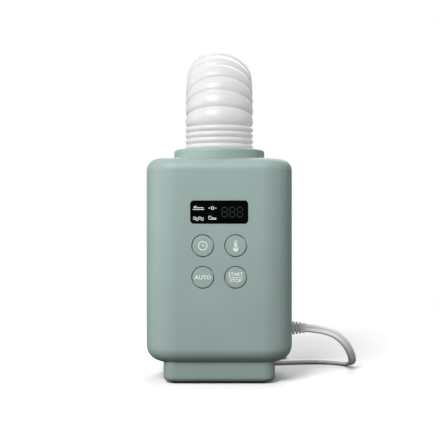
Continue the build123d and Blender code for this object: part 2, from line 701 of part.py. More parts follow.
# Heater frame: two crossed mica plates that carry the wire; heater coils: the wire turns round them
MICA_BOTTOM = SCROLL_TOP + HEATER_END_GAP
MICA_HEIGHT = HEATER_TOP - SCROLL_TOP - 2 * HEATER_END_GAP
with BuildPart() as heater_frame:
    with BuildSketch(Plane.XY.offset(MICA_BOTTOM)):
        with Locations((THROAT_X, THROAT_Y)):
            Rectangle(2 * MICA_HALF, MICA_THICK)
            Rectangle(MICA_THICK, 2 * (SCROLL_DEPTH / 2 - HEATER_DUCT_WALL) - 0.2)
    extrude(amount=MICA_HEIGHT)
    with Locations(*[
        (THROAT_X, THROAT_Y + sy * (MICA_HALF + COIL_WIRE + 0.3), MICA_BOTTOM + MICA_HEIGHT / 2)
        for sy in (-1, 1)
    ]):
        Box(2 * MICA_THICK, 2.4 * COIL_WIRE, MICA_HEIGHT - 4, mode=Mode.SUBTRACT)
write_step(heater_frame, "heater_frame")

with BuildPart() as heater_coils:
    with Locations(*[
        (THROAT_X, THROAT_Y, MICA_BOTTOM + 4 + k * COIL_PITCH)
        for k in range(int((MICA_HEIGHT - 8) / COIL_PITCH) + 1)
    ]):
        Torus(MICA_HALF + COIL_WIRE + 0.3, COIL_WIRE)
write_step(heater_coils, "heater_coils")

# Thermostat on the outside of the heater duct, and thermal fuse beside it
with BuildPart() as thermostat:
    with BuildSketch(Plane.YZ.offset(THROAT_X + SCROLL_RADIUS / 2)):
        with Locations((THROAT_Y, MICA_BOTTOM + MICA_HEIGHT / 2)):
            Circle(THERMOSTAT_RADIUS)
    extrude(amount=THERMOSTAT_THICK)
write_step(thermostat, "thermostat")

with BuildPart() as thermal_fuse:
    with Locations((THROAT_X + SCROLL_RADIUS / 2 + FUSE_RADIUS + FACE_GAP, THROAT_Y, MICA_BOTTOM + 4)):
        Cylinder(FUSE_RADIUS, FUSE_LENGTH, rotation=(90, 0, 0))
write_step(thermal_fuse, "thermal_fuse")


def duct_passage(inset):
    """The outlet duct's form, inset from its outside: nearly square below and nearly round above."""
    round_half = HOSE_CREST - 0.5 - inset
    with BuildPart() as passage:
        with BuildSketch(Plane.XY.offset(HEATER_TOP)):
            with Locations((THROAT_X, THROAT_Y)):
                RectangleRounded(SCROLL_RADIUS - 2 * inset, SCROLL_DEPTH - 2 * inset, 6 - inset)
        with BuildSketch(Plane.XY.offset(CUFF_BOTTOM)):
            RectangleRounded(2 * round_half, 2 * round_half, round_half - 0.3)
        loft(ruled=True)
    return passage.part


# Outlet duct: the moulded piece that leads the hot air from the heater up into the hose
with BuildPart() as outlet_duct:
    add(duct_passage(0))
    add(duct_passage(OUTLET_DUCT_WALL), mode=Mode.SUBTRACT)
write_step(outlet_duct, "outlet_duct")

# Main board on the right wall, and the larger components on it
POWER_X = INNER_HALF - POWER_BOARD_GAP
POWER_Z = BODY_BOTTOM + POWER_BOARD_LIFT + POWER_BOARD_HEIGHT / 2
POWER_Y = BUSHING_Y - POWER_BOARD_DEPTH / 3
with BuildPart() as main_board:
    with BuildSketch(Plane.YZ.offset(POWER_X)):
        with Locations((POWER_Y, POWER_Z)):
            Rectangle(POWER_BOARD_DEPTH, POWER_BOARD_HEIGHT)
    extrude(amount=BOARD_THICK)
write_step(main_board, "main_board")

with BuildPart() as power_components:
    with Locations((POWER_X - RELAY[0] / 2, POWER_Y - 18, POWER_Z + 26)):
        Box(*RELAY)
    with Locations((POWER_X - CHOKE[0] / 2, POWER_Y - 14, POWER_Z)):
        Box(*CHOKE)
    with Locations((POWER_X - CAPACITOR_LENGTH / 2, POWER_Y + 12, POWER_Z + 20)):
        Cylinder(CAPACITOR_RADIUS, CAPACITOR_LENGTH, rotation=(0, 90, 0))
    with Locations((POWER_X - TERMINAL_BLOCK[0] / 2, POWER_Y + 6, POWER_Z - 30)):
        Box(*TERMINAL_BLOCK)
write_step(power_components, "power_components")

# Filter cover: the slatted intake cover, turning on two small pins at its lower edge
COVER_TOP = INTAKE_BOTTOM + INTAKE_HEIGHT - COVER_GAP
COVER_HALF = INTAKE_WIDTH / 2 - COVER_GAP
SLAT_COUNT = int((COVER_TOP - COVER_AXIS_Z - 2 * COVER_RIM) / COVER_SLAT_PITCH)
with BuildPart() as filter_cover:
    with BuildSketch(facing_front(BODY_REAR)):
        with Locations((0, (COVER_AXIS_Z + COVER_TOP) / 2)):
            Rectangle(2 * COVER_HALF, COVER_TOP - COVER_AXIS_Z)
            Rectangle(
                2 * (COVER_HALF - COVER_RIM), COVER_TOP - COVER_AXIS_Z - 2 * COVER_RIM, mode=Mode.SUBTRACT
            )
        with Locations(*[
            (0, COVER_AXIS_Z + COVER_RIM + (k + 0.5) * COVER_SLAT_PITCH) for k in range(SLAT_COUNT)
        ]):
            Rectangle(2 * COVER_HALF - COVER_RIM, COVER_SLAT)
    extrude(amount=-COVER_THICK)
    with Locations((0, COVER_AXIS_Y, COVER_AXIS_Z)):
        Cylinder(COVER_THICK / 2, 2 * COVER_HALF, rotation=(0, 90, 0))
        Cylinder(COVER_PIN_RADIUS, INTAKE_WIDTH + 2 * COVER_EAR - 3, rotation=(0, 90, 0))
    with Locations((0, BODY_REAR + COVER_THICK + COVER_PULL[1] / 2, COVER_TOP - COVER_RIM / 2)):
        Box(*COVER_PULL)
write_step(filter_cover, "filter_cover")

# Filter mesh: the dust screen fixed across the inside of the intake
with BuildPart() as filter_mesh:
    with Locations((0, INNER_REAR - MESH_THICK / 2 - FACE_GAP, INTAKE_Z)):
        Box(INTAKE_WIDTH + MESH_MARGIN, MESH_THICK, INTAKE_HEIGHT + MESH_MARGIN)
        Box(INTAKE_WIDTH - MESH_MARGIN, 3 * MESH_THICK, INTAKE_HEIGHT - MESH_MARGIN, mode=Mode.SUBTRACT)
        with GridLocations((INTAKE_WIDTH - MESH_MARGIN) / (MESH_BARS + 1), 1, MESH_BARS, 1):
            Box(1, MESH_THICK, INTAKE_HEIGHT)
        for bar in range(MESH_BARS):
            rise = (bar - (MESH_BARS - 1) / 2) * (INTAKE_HEIGHT - MESH_MARGIN) / (MESH_BARS + 1)
            with Locations((0, 0, rise)):
                Box(INTAKE_WIDTH, MESH_THICK, 1)
write_step(filter_mesh, "filter_mesh")


def packed_bellows(bottom, y, folds):
    """A straight stretch of closely packed hose folds, standing on bottom."""
    outer = [(HOSE_VALLEY, bottom)]
    for fold in range(folds):
        start = bottom + fold * PACKED_PITCH
        outer += [
            (HOSE_CREST, start + PACKED_PITCH * 0.25),
            (HOSE_CREST, start + PACKED_PITCH * 0.75),
            (HOSE_VALLEY, start + PACKED_PITCH),
        ]
    inner = [(r - HOSE_WALL, z) for r, z in reversed(outer)]
    with BuildPart() as sleeve:
        with BuildSketch(facing_front(y)):
            with BuildLine():
                Polyline(*outer, *inner, close=True)
            make_face()
        revolve(axis=Axis((0, y, 0), (0, 0, 1)))
    return sleeve


def arch_plane(angle):
    """The cross-section of the hose at an angle along its arch, 0 at the front and 180 at the back."""
    turn = radians(angle)
    centre = (0, BEND_RADIUS * (1 - cos(turn)), ARCH_Z + BEND_RADIUS * sin(turn))
    return Plane(origin=centre, x_dir=(1, 0, 0), z_dir=(0, sin(turn), cos(turn)))


def arch_sleeve(start, end, outer, inner):
    """A plain stretch of tube along the arch between two angles."""
    with BuildPart() as sleeve:
        with BuildSketch(arch_plane(start)):
            Circle(outer)
            Circle(inner, mode=Mode.SUBTRACT)
        revolve(axis=ARCH_AXIS, revolution_arc=end - start)
    return sleeve.part


# Hose cuff: the hard lower end of the hose, pushed into the collar; and the packed folds above it
with BuildPart() as hose_cuff:
    with BuildSketch(Plane.XY.offset(CUFF_BOTTOM)):
        Circle(HOSE_CREST)
        Circle(HOSE_CREST - HOSE_CUFF_WALL, mode=Mode.SUBTRACT)
    extrude(amount=COLLAR_TOP - CUFF_BOTTOM)
write_step(hose_cuff, "hose_cuff")

hose_lower = packed_bellows(COLLAR_TOP, 0, LOWER_FOLDS)
write_step(hose_lower, "hose_lower")

# Hose arch: each link of the hose is a stretch of folded skin that ends in a stiff valley ring
for link in range(1, LINKS + 1):
    skin_start = LINK_ANGLE * (link - 1) + (RING_HALF_ANGLE + SKIN_GAP_ANGLE if link > 1 else SKIN_GAP_ANGLE)
    skin_end = LINK_ANGLE * link - (RING_HALF_ANGLE + SKIN_GAP_ANGLE if link < LINKS else SKIN_GAP_ANGLE)
    crests = [LINK_ANGLE * (link - 1) + FOLD_ANGLE * (fold + 0.5) for fold in range(FOLDS_PER_LINK)]
    crest_half = FOLD_ANGLE * CREST_SHARE / 2
    with BuildPart() as hose_skin:
        add(arch_sleeve(skin_start, skin_end, HOSE_VALLEY, HOSE_VALLEY - HOSE_WALL))
        for crest in crests:
            add(arch_sleeve(crest - crest_half, crest + crest_half, HOSE_CREST, HOSE_VALLEY - HOSE_WALL))
        for crest in crests:
            add(
                arch_sleeve(
                    crest - crest_half + 1, crest + crest_half - 1, HOSE_CREST - HOSE_WALL, HOSE_VALLEY - 2 * HOSE_WALL
                ),
                mode=Mode.SUBTRACT,
            )
    write_step(hose_skin, f"hose_skin_{link}")

for link in range(1, LINKS):
    with BuildPart() as hose_ring:
        add(
            arch_sleeve(
                LINK_ANGLE * link - RING_HALF_ANGLE,
                LINK_ANGLE * link + RING_HALF_ANGLE,
                HOSE_VALLEY + RING_STEP,
                HOSE_VALLEY - HOSE_WALL,
            )
        )
    write_step(hose_ring, f"hose_ring_{link}")

# Hose end: the packed folds at the back, pushed into the nozzle's collar
HOSE_END_BOTTOM = ARCH_Z - END_FOLDS * PACKED_PITCH
hose_end = packed_bellows(HOSE_END_BOTTOM, NOZZLE_Y, END_FOLDS)
write_step(hose_end, "hose_end")

# Nozzle collar: the round ring that clamps the hose to the nozzle
NOZZLE_TOP = HOSE_END_BOTTOM - NOZZLE_COLLAR_HEIGHT
with BuildPart() as nozzle_collar:
    with BuildSketch(Plane.XY.offset(NOZZLE_TOP)):
        with Locations((0, NOZZLE_Y)):
            Circle(NOZZLE_COLLAR_RADIUS)
            Circle(HOSE_VALLEY - HOSE_WALL, mode=Mode.SUBTRACT)
    extrude(amount=NOZZLE_COLLAR_HEIGHT)
    fillet(nozzle_collar.faces().sort_by(Axis.Z)[-1].edges().sort_by(SortBy.LENGTH)[-1], 1.5)
    with BuildSketch(Plane.XY.offset(NOZZLE_TOP + 3)):
        with Locations((0, NOZZLE_Y)):
            with PolarLocations(NOZZLE_COLLAR_RADIUS, GRIP_GROOVES):
                Circle(GRIP_GROOVE_RADIUS)
    extrude(amount=NOZZLE_COLLAR_HEIGHT - 7, mode=Mode.SUBTRACT)
write_step(nozzle_collar, "nozzle_collar")

# Nozzle shell: round at the collar, narrowing to a wide flat blade with an open mouth below
SHOULDER_Z = NOZZLE_TOP - NOZZLE_TAPER_HEIGHT
MOUTH_Z = SHOULDER_Z - NOZZLE_BLADE_HEIGHT


def nozzle_outline(z, width, thick):
    with BuildSketch(Plane.XY.offset(z)) as outline:
        with Locations((0, NOZZLE_Y)):
            SlotOverall(width, thick)
    return outline.sketch


def nozzle_form(inset, over):
    """The nozzle's form, inset from its outside; over lengthens it at both ends."""
    round_size = 2 * (NOZZLE_COLLAR_RADIUS - 1 - inset)
    shoulder = (NOZZLE_SHOULDER_WIDTH - 2 * inset, NOZZLE_SHOULDER_THICK - 2 * inset)
    with BuildPart() as form:
        add(nozzle_outline(NOZZLE_TOP, round_size + 0.6, round_size))
        add(nozzle_outline(SHOULDER_Z, *shoulder))
        loft(ruled=True)
        add(nozzle_outline(SHOULDER_Z, *shoulder))
        add(nozzle_outline(MOUTH_Z - over, NOZZLE_MOUTH_WIDTH - 2 * inset, NOZZLE_MOUTH_THICK - 2 * inset))
        loft(ruled=True)
    return form.part


FLAP_AXIS_Y = NOZZLE_Y + NOZZLE_SHOULDER_THICK / 2 + FLAP_BARREL + FLAP_GAP + 0.6
FLAP_AXIS_Z = SHOULDER_Z - FLAP_BARREL_DROP
with BuildPart() as nozzle_shell:
    add(nozzle_form(0, 0))
    for side in (-1, 1):
        with BuildSketch(Plane.YZ.offset(side * (FLAP_WIDTH / 2 + FLAP_EAR_THICK / 2 + FLAP_SIDE_GAP))):
            with BuildLine():
                Polyline(
                    (NOZZLE_Y, FLAP_AXIS_Z - FLAP_BARREL),
                    (FLAP_AXIS_Y, FLAP_AXIS_Z - FLAP_BARREL),
                    (FLAP_AXIS_Y, FLAP_AXIS_Z + FLAP_BARREL),
                    (NOZZLE_Y, FLAP_AXIS_Z + FLAP_BARREL + 4),
                    close=True,
                )
            make_face()
            with Locations((FLAP_AXIS_Y, FLAP_AXIS_Z)):
                Circle(FLAP_BARREL)
                Circle(FLAP_PIN_RADIUS, mode=Mode.SUBTRACT)
        extrude(amount=FLAP_EAR_THICK / 2, both=True)
    add(nozzle_form(NOZZLE_WALL, 0.01), mode=Mode.SUBTRACT)
write_step(nozzle_shell, "nozzle_shell")

# Nozzle grille: upright fins across the mouth, joined by one cross bar
GRILLE_Z = MOUTH_Z + GRILLE_LIFT
with BuildPart() as nozzle_grille:
    with BuildSketch(Plane.XY.offset(GRILLE_Z)):
        with Locations((0, NOZZLE_Y)):
            with GridLocations(NOZZLE_FIN_PITCH, 1, NOZZLE_FIN_COUNT, 1):
                Rectangle(NOZZLE_FIN_THICK, NOZZLE_MOUTH_THICK)
            Rectangle(NOZZLE_MOUTH_WIDTH, NOZZLE_FIN_THICK)
    extrude(amount=NOZZLE_FIN_DEPTH)
    add(nozzle_form(NOZZLE_WALL, 0.01), mode=Mode.INTERSECT)
write_step(nozzle_grille, "nozzle_grille")

# Flap: the plate that lifts the bedding, turning on a long pin at the back of the nozzle
FLAP_BOTTOM = MOUTH_Z + 2
with BuildPart() as flap:
    with BuildSketch(Plane.YZ) as flap_section:
        with Locations((FLAP_AXIS_Y, FLAP_AXIS_Z)):
            Circle(FLAP_BARREL)
        with BuildLine():
            Polyline(
                (FLAP_AXIS_Y + FLAP_BARREL - FLAP_THICK, FLAP_AXIS_Z),
                (FLAP_AXIS_Y + FLAP_BARREL, FLAP_AXIS_Z),
                (FLAP_AXIS_Y + FLAP_BARREL, FLAP_BOTTOM),
                (FLAP_AXIS_Y + FLAP_BARREL - FLAP_THICK, FLAP_BOTTOM),
                close=True,
            )
        make_face()
        with Locations((FLAP_AXIS_Y, FLAP_AXIS_Z)):
            Circle(FLAP_PIN_RADIUS + RUNNING_FIT, mode=Mode.SUBTRACT)
    extrude(amount=FLAP_WIDTH / 2 - FLAP_SIDE_GAP, both=True)
    fillet(flap.edges().filter_by(Axis.Y).group_by(Axis.Z)[0], FLAP_CORNER)
write_step(flap, "flap")

with BuildPart() as flap_pin:
    with Locations((0, FLAP_AXIS_Y, FLAP_AXIS_Z)):
        Cylinder(FLAP_PIN_RADIUS, FLAP_WIDTH + 2 * (FLAP_EAR_THICK + FLAP_SIDE_GAP), rotation=(0, 90, 0))
write_step(flap_pin, "flap_pin")

# Nozzle dock: a bracket on the back of the case, with a saddle behind the nozzle and two side arms
DOCK_BOTTOM = MOUTH_Z + DOCK_ABOVE_MOUTH
DOCK_Z = DOCK_BOTTOM + DOCK_HEIGHT / 2
MOUTH_SHARE = (SHOULDER_Z - DOCK_BOTTOM + 8) / NOZZLE_BLADE_HEIGHT
DOCK_NOZZLE_WIDTH = NOZZLE_SHOULDER_WIDTH + (NOZZLE_MOUTH_WIDTH - NOZZLE_SHOULDER_WIDTH) * MOUTH_SHARE
DOCK_NOZZLE_THICK = NOZZLE_SHOULDER_THICK + (NOZZLE_MOUTH_THICK - NOZZLE_SHOULDER_THICK) * MOUTH_SHARE
DOCK_ARM_X = DOCK_NOZZLE_WIDTH / 2 + DOCK_SIDE_GAP + DOCK_ARM_THICK / 2
SADDLE_FACE = NOZZLE_Y - DOCK_NOZZLE_THICK / 2 - DOCK_FACE_GAP
with BuildPart() as nozzle_dock:
    with BuildSketch(facing_front(BODY_REAR)):
        with Locations((0, DOCK_Z)):
            RectangleRounded(2 * DOCK_ARM_X + DOCK_ARM_THICK, DOCK_HEIGHT, 3)
    extrude(amount=-DOCK_PLATE)
    with BuildSketch(Plane.XY.offset(DOCK_BOTTOM)):
        with Locations(*[(sx * DOCK_ARM_X, (BODY_REAR + NOZZLE_Y) / 2) for sx in (-1, 1)]):
            Rectangle(DOCK_ARM_THICK, NOZZLE_Y - BODY_REAR)
        with Locations((0, (BODY_REAR + SADDLE_FACE) / 2)):
            Rectangle(DOCK_SADDLE_WIDTH, SADDLE_FACE - BODY_REAR)
            Rectangle(
                DOCK_SADDLE_WIDTH - 2 * DOCK_ARM_THICK,
                SADDLE_FACE - BODY_REAR - 2 * DOCK_ARM_THICK,
                mode=Mode.SUBTRACT,
            )
    extrude(amount=DOCK_HEIGHT)
    arm_tips = nozzle_dock.edges().filter_by(Axis.Z).filter_by_position(Axis.Y, NOZZLE_Y - 1, NOZZLE_Y + 1)
    fillet(arm_tips, DOCK_ARM_THICK / 2 - FACE_GAP)
write_step(nozzle_dock, "nozzle_dock")

# Cord bushing: the ribbed strain relief, held by a neck in the case wall
BUSHING_FACE = BODY_WIDTH / 2
BUSHING_TIP = BUSHING_FACE + BUSHING_LENGTH
BUSHING_RIB_PITCH = (BUSHING_LENGTH - BUSHING_RIB_THICK) / (BUSHING_RIBS - 1)
BUSHING_CORE_DEPTH = BUSHING_TIP_DEPTH - 2 * BUSHING_GROOVE
BUSHING_CORE_HEIGHT = BUSHING_TIP_HEIGHT - 2 * BUSHING_GROOVE
with BuildPart() as cord_bushing:
    with BuildSketch(Plane.YZ.offset(BUSHING_FACE)):
        with Locations((BUSHING_Y, BUSHING_Z)):
            RectangleRounded(BUSHING_CORE_DEPTH, BUSHING_CORE_HEIGHT, BUSHING_CORNER)
    extrude(amount=BUSHING_LENGTH)
    for k in range(BUSHING_RIBS):
        share = k / (BUSHING_RIBS - 1)
        rib_depth = BUSHING_DEPTH + (BUSHING_TIP_DEPTH - BUSHING_DEPTH) * share
        rib_height = BUSHING_HEIGHT + (BUSHING_TIP_HEIGHT - BUSHING_HEIGHT) * share
        with BuildSketch(Plane.YZ.offset(BUSHING_FACE + k * BUSHING_RIB_PITCH)):
            with Locations((BUSHING_Y, BUSHING_Z)):
                RectangleRounded(rib_depth, rib_height, BUSHING_CORNER)
        extrude(amount=BUSHING_RIB_THICK)
    with Locations((BUSHING_FACE - WALL, BUSHING_Y, BUSHING_Z)):
        Box(2 * WALL, BUSHING_NECK_DEPTH, BUSHING_NECK_HEIGHT)
    with Locations((BUSHING_FACE - 2 * WALL, BUSHING_Y, BUSHING_Z)):
        Box(WALL, BUSHING_DEPTH, BUSHING_HEIGHT)
write_step(cord_bushing, "cord_bushing")

with BuildPart() as cord_clamp:
    with Locations((BUSHING_FACE - 4 * WALL - 3, BUSHING_Y, BUSHING_Z)):
        Box(*CLAMP)
    with Locations((BUSHING_FACE - 4 * WALL - 3, BUSHING_Y + CLAMP[1] / 3, BUSHING_Z)):
        Cylinder(CLAMP_HOLE, CLAMP[2], mode=Mode.SUBTRACT)
write_step(cord_clamp, "cord_clamp")

# Mains cord: out of the bushing to the right, down to the floor, and round behind the case
CORD_FLOOR = CORD_THICK / 2 + FLOOR_GAP
CORD_ROUTE = [
    (BUSHING_TIP, BUSHING_Y, BUSHING_Z),
    (112, 20.5, 50.4),
    (129, 23, 45.5),
    (142.5, 31, 34),
    (150.5, 42, 20.5),
    (154.5, 56, CORD_FLOOR + 7),
    (153.6, 71.2, CORD_FLOOR + 1.2),
    (146.6, 84.6, CORD_FLOOR),
    (134, 93, CORD_FLOOR),
    (118, 96.4, CORD_FLOOR + 0.02),
    (96, 95, CORD_FLOOR),
    (69, 89.5, CORD_FLOOR + 0.01),
    (41, 88, CORD_FLOOR),
]


def route_radii(route, share=0.45):
    """For each corner of a route, a share of its shorter run over the tangent of half the turn."""
    points = [Vector(*point) for point in route]
    radii = []
    for before, corner, after in zip(points, points[1:], points[2:]):
        turn = radians((corner - before).get_angle(after - corner))
        run = min((corner - before).length, (after - corner).length)
        radii.append(share * run / tan(turn / 2))
    return radii


CORD_RADII = route_radii(CORD_ROUTE)
print("cord radii", [round(r, 1) for r in CORD_RADII])
with BuildPart() as mains_cord:
    with BuildLine():
        cord_path = FilletPolyline(*CORD_ROUTE, radius=CORD_RADII)
    with BuildSketch(Plane(origin=CORD_ROUTE[0], z_dir=cord_path % 0)):
        Circle(CORD_THICK / 2)
    sweep()
CORD_TUBE_VOLUME = pi * CORD_THICK**2 / 4 * cord_path.length
print("cord length", round(cord_path.length, 1), "volume share", mains_cord.part.volume / CORD_TUBE_VOLUME)
write_step(mains_cord, "mains_cord")

# Cord coil: the outer shape of the wound cord on the floor behind the case, with a tie round it
with BuildPart() as cord_coil:
    with BuildSketch(Plane.XY.offset(FLOOR_GAP)):
        with Locations((COIL_X, COIL_Y)):
            Circle(COIL_MIDDLE + COIL_BAND / 2)
            Circle(COIL_MIDDLE - COIL_BAND / 2, mode=Mode.SUBTRACT)
    extrude(amount=COIL_HEIGHT)
    fillet(cord_coil.edges().filter_by(GeomType.CIRCLE), COIL_FILLET)
write_step(cord_coil, "cord_coil")

with BuildPart() as cord_tie:
    with BuildSketch(facing_front(COIL_Y + TIE_WIDTH / 2)):
        with Locations((COIL_X - COIL_MIDDLE, FLOOR_GAP + COIL_HEIGHT / 2 + TIE_THICK / 2)):
            RectangleRounded(COIL_BAND + 2 * TIE_THICK, COIL_HEIGHT + TIE_THICK, 2.4)
    extrude(amount=TIE_WIDTH)
    add(cord_coil.part, mode=Mode.SUBTRACT)
write_step(cord_tie, "cord_tie")

# Plug: the moulded body with its tapered tail, and the two flat blades
PLUG_Z = PLUG_THICK / 2 + FLOOR_GAP
PLUG_BACK = PLUG_TAIL_X - PLUG_TAIL_LENGTH
PLUG_FACE = PLUG_BACK - PLUG_LENGTH
with BuildPart() as plug_body:
    with BuildSketch(Plane.YZ.offset(PLUG_FACE)):
        with Locations((PLUG_Y, PLUG_Z)):
            RectangleRounded(PLUG_WIDTH, PLUG_THICK, PLUG_CORNER)
    extrude(amount=PLUG_LENGTH)
    fillet(plug_body.faces().sort_by(Axis.X)[0].edges(), 1.5)
    with BuildSketch(Plane.YZ.offset(PLUG_BACK)):
        with Locations((PLUG_Y, PLUG_Z)):
            RectangleRounded(*PLUG_TAIL_ROOT)
    with BuildSketch(Plane.YZ.offset(PLUG_TAIL_X)):
        with Locations((PLUG_Y, PLUG_Z - PLUG_TAIL_SINK)):
            RectangleRounded(*PLUG_TAIL_TIP)
    loft(ruled=True)
write_step(plug_body, "plug_body")

with BuildPart() as plug_blades:
    with BuildSketch(Plane.YZ.offset(PLUG_FACE)):
        with Locations(*[(PLUG_Y + sy * BLADE_SPACING / 2, PLUG_Z) for sy in (-1, 1)]):
            Rectangle(BLADE_THICK, BLADE_HEIGHT)
    extrude(amount=-BLADE_LENGTH)
    with Locations((PLUG_FACE - BLADE_LENGTH + BLADE_HOLE_INSET, PLUG_Y, PLUG_Z)):
        Cylinder(BLADE_HOLE, 2 * BLADE_SPACING, rotation=(90, 0, 0), mode=Mode.SUBTRACT)
write_step(plug_blades, "plug_blades")
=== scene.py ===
import math

import bmesh
import bpy
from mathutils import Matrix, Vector


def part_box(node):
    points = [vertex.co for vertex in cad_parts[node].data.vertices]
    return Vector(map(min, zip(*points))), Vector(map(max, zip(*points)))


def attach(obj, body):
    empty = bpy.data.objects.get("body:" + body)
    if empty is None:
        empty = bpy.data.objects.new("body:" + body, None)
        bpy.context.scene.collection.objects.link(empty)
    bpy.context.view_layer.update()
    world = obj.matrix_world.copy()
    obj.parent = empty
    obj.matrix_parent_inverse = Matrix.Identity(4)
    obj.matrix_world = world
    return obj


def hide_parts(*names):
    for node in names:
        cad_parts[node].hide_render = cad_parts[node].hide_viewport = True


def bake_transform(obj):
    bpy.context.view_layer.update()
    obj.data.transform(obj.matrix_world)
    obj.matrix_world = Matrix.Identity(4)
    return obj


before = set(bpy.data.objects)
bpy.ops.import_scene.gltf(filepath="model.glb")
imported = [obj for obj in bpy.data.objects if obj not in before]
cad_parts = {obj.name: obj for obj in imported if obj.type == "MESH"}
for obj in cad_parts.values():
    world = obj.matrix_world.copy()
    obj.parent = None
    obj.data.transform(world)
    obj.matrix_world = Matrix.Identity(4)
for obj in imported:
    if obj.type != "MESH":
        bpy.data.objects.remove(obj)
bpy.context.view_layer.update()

# Camera, floor and lights
# The dryer stands on a pale studio floor, seen level from the front at a metre, with a soft
# key light high on the left, weaker fills on both sides, one behind, and a pale surround.
camera = bpy.data.objects.new("camera", bpy.data.cameras.new("camera"))
camera.data.lens = 77.4
camera.data.sensor_width = 36.0
camera.location = (0.0008, -1.040, 0.1724)
camera.rotation_euler = (math.radians(90), 0, 0)
bpy.context.scene.collection.objects.link(camera)
bpy.context.scene.camera = camera


class Wire:
    """A socket that sums can be written on; each sum adds its Math node."""

    def __init__(self, graph, socket):
        self.graph = graph
        self.socket = socket

    def _math(self, operation, first, second=0.0):
        return self.graph.node("ShaderNodeMath", {"operation": operation}, {0: first, 1: second})

    def __add__(self, other):
        return self._math("ADD", self, other)

    def __radd__(self, other):
        return self._math("ADD", other, self)

    def __sub__(self, other):
        return self._math("SUBTRACT", self, other)

    def __rsub__(self, other):
        return self._math("SUBTRACT", other, self)

    def __mul__(self, other):
        return self._math("MULTIPLY", self, other)

    def __rmul__(self, other):
        return self._math("MULTIPLY", other, self)

    def __truediv__(self, other):
        return self._math("DIVIDE", self, other)

    def __pow__(self, other):
        return self._math("POWER", self, other)

    def sine(self):
        return self._math("SINE", self)

    def cosine(self):
        return self._math("COSINE", self)

    def size(self):
        return self._math("ABSOLUTE", self)

    def at_least(self, other):
        return self._math("MAXIMUM", self, other)

    def at_most(self, other):
        return self._math("MINIMUM", self, other)


class Graph:
    """A node tree that is added to one node at a time."""

    def __init__(self, tree):
        self.tree = tree

    def node(self, kind, settings=None, sockets=None, out=0):
        made = self.tree.nodes.new(kind)
        for name, value in (settings or {}).items():
            if name == "stops":
                for stop, (place, colour) in zip(made.color_ramp.elements, value):
                    stop.position = place
                    stop.color = (*colour, 1)
            else:
                setattr(made, name, value)
        for key, value in (sockets or {}).items():
            socket = made.inputs[key]
            if isinstance(value, Wire):
                self.tree.links.new(value.socket, socket)
            else:
                socket.default_value = value
        return Wire(self, made.outputs[out])


def finish(name, colour, roughness, metallic=0.0, mottle=0.06, grain=(900, 0.00002, 0.25), **constants):
    """A surface with a little cloudiness in its colour and gloss and a fine grain in its relief."""
    material = bpy.data.materials.new(name)
    material.use_nodes = True
    material.node_tree.nodes.clear()
    graph = Graph(material.node_tree)
    place = graph.node("ShaderNodeTexCoord", out="Object")
    cloud = graph.node("ShaderNodeTexNoise", {}, {"Vector": place, "Scale": 22.0, "Detail": 4.0})
    fine = graph.node("ShaderNodeTexNoise", {}, {"Vector": place, "Scale": float(grain[0]), "Detail": 3.0})
    darker = tuple(c * (1 - mottle) for c in colour)
    lighter = tuple(min(c * (1 + mottle), 1.0) for c in colour)
    tone = graph.node("ShaderNodeValToRGB", {"stops": [(0.3, darker), (0.7, lighter)]}, {"Fac": cloud})
    gloss = roughness + (cloud - 0.5) * 0.12 + (fine - 0.5) * 0.10
    relief = graph.node(
        "ShaderNodeBump", {}, {"Strength": grain[2], "Distance": grain[1] * 10, "Height": fine}
    )
    surface = graph.node(
        "ShaderNodeBsdfPrincipled",
        {},
        {
            "Base Color": tone,
            "Roughness": gloss,
            "Metallic": metallic,
            "Normal": relief,
            **constants,
        },
    )
    output = material.node_tree.nodes.new("ShaderNodeOutputMaterial")
    material.node_tree.links.new(surface.socket, output.inputs["Surface"])
    return material


def shape(name, corners, faces, material, smooth=True):
    """A mesh object at the origin from its corners and faces, in metres."""
    mesh = bpy.data.meshes.new(name)
    mesh.from_pydata([tuple(c) for c in corners], [], faces)
    mesh.polygons.foreach_set("use_smooth", [smooth] * len(mesh.polygons))
    mesh.materials.append(material)
    mesh.update()
    made = bpy.data.objects.new(name, mesh)
    bpy.context.scene.collection.objects.link(made)
    return made


def studio_floor():
    """White paper that fades into the white surround, and throws little light up under the case."""
    material = bpy.data.materials.new("studio floor")
    material.use_nodes = True
    material.node_tree.nodes.clear()
    graph = Graph(material.node_tree)
    place = graph.node("ShaderNodeTexCoord", out="Object")
    away = graph.node("ShaderNodeVectorMath", {"operation": "LENGTH"}, {0: place}, out="Value")
    far = ((away - 0.35) / 0.5).at_least(0.0).at_most(1.0)
    seen = graph.node("ShaderNodeLightPath", out="Is Camera Ray")
    paper = graph.node("ShaderNodeBsdfDiffuse", {}, {"Color": (0.95, 0.95, 0.95, 1)})
    dim = graph.node("ShaderNodeBsdfDiffuse", {}, {"Color": (0.10, 0.10, 0.10, 1)})
    glow = graph.node("ShaderNodeEmission", {}, {"Color": (1, 1, 1, 1), "Strength": 1.0})
    faded = graph.node("ShaderNodeMixShader", {}, {0: far, 1: paper, 2: glow})
    whole = graph.node("ShaderNodeMixShader", {}, {0: seen, 1: dim, 2: faded})
    output = material.node_tree.nodes.new("ShaderNodeOutputMaterial")
    material.node_tree.links.new(whole.socket, output.inputs["Surface"])
    return material


floor_finish = studio_floor()
FLOOR_HALF = 6.0
floor = shape(
    "floor",
    [(x * FLOOR_HALF, y * FLOOR_HALF, -0.0002) for x, y in ((-1, -1), (1, -1), (1, 1), (-1, 1))],
    [(0, 1, 2, 3)],
    floor_finish,
    smooth=False,
)

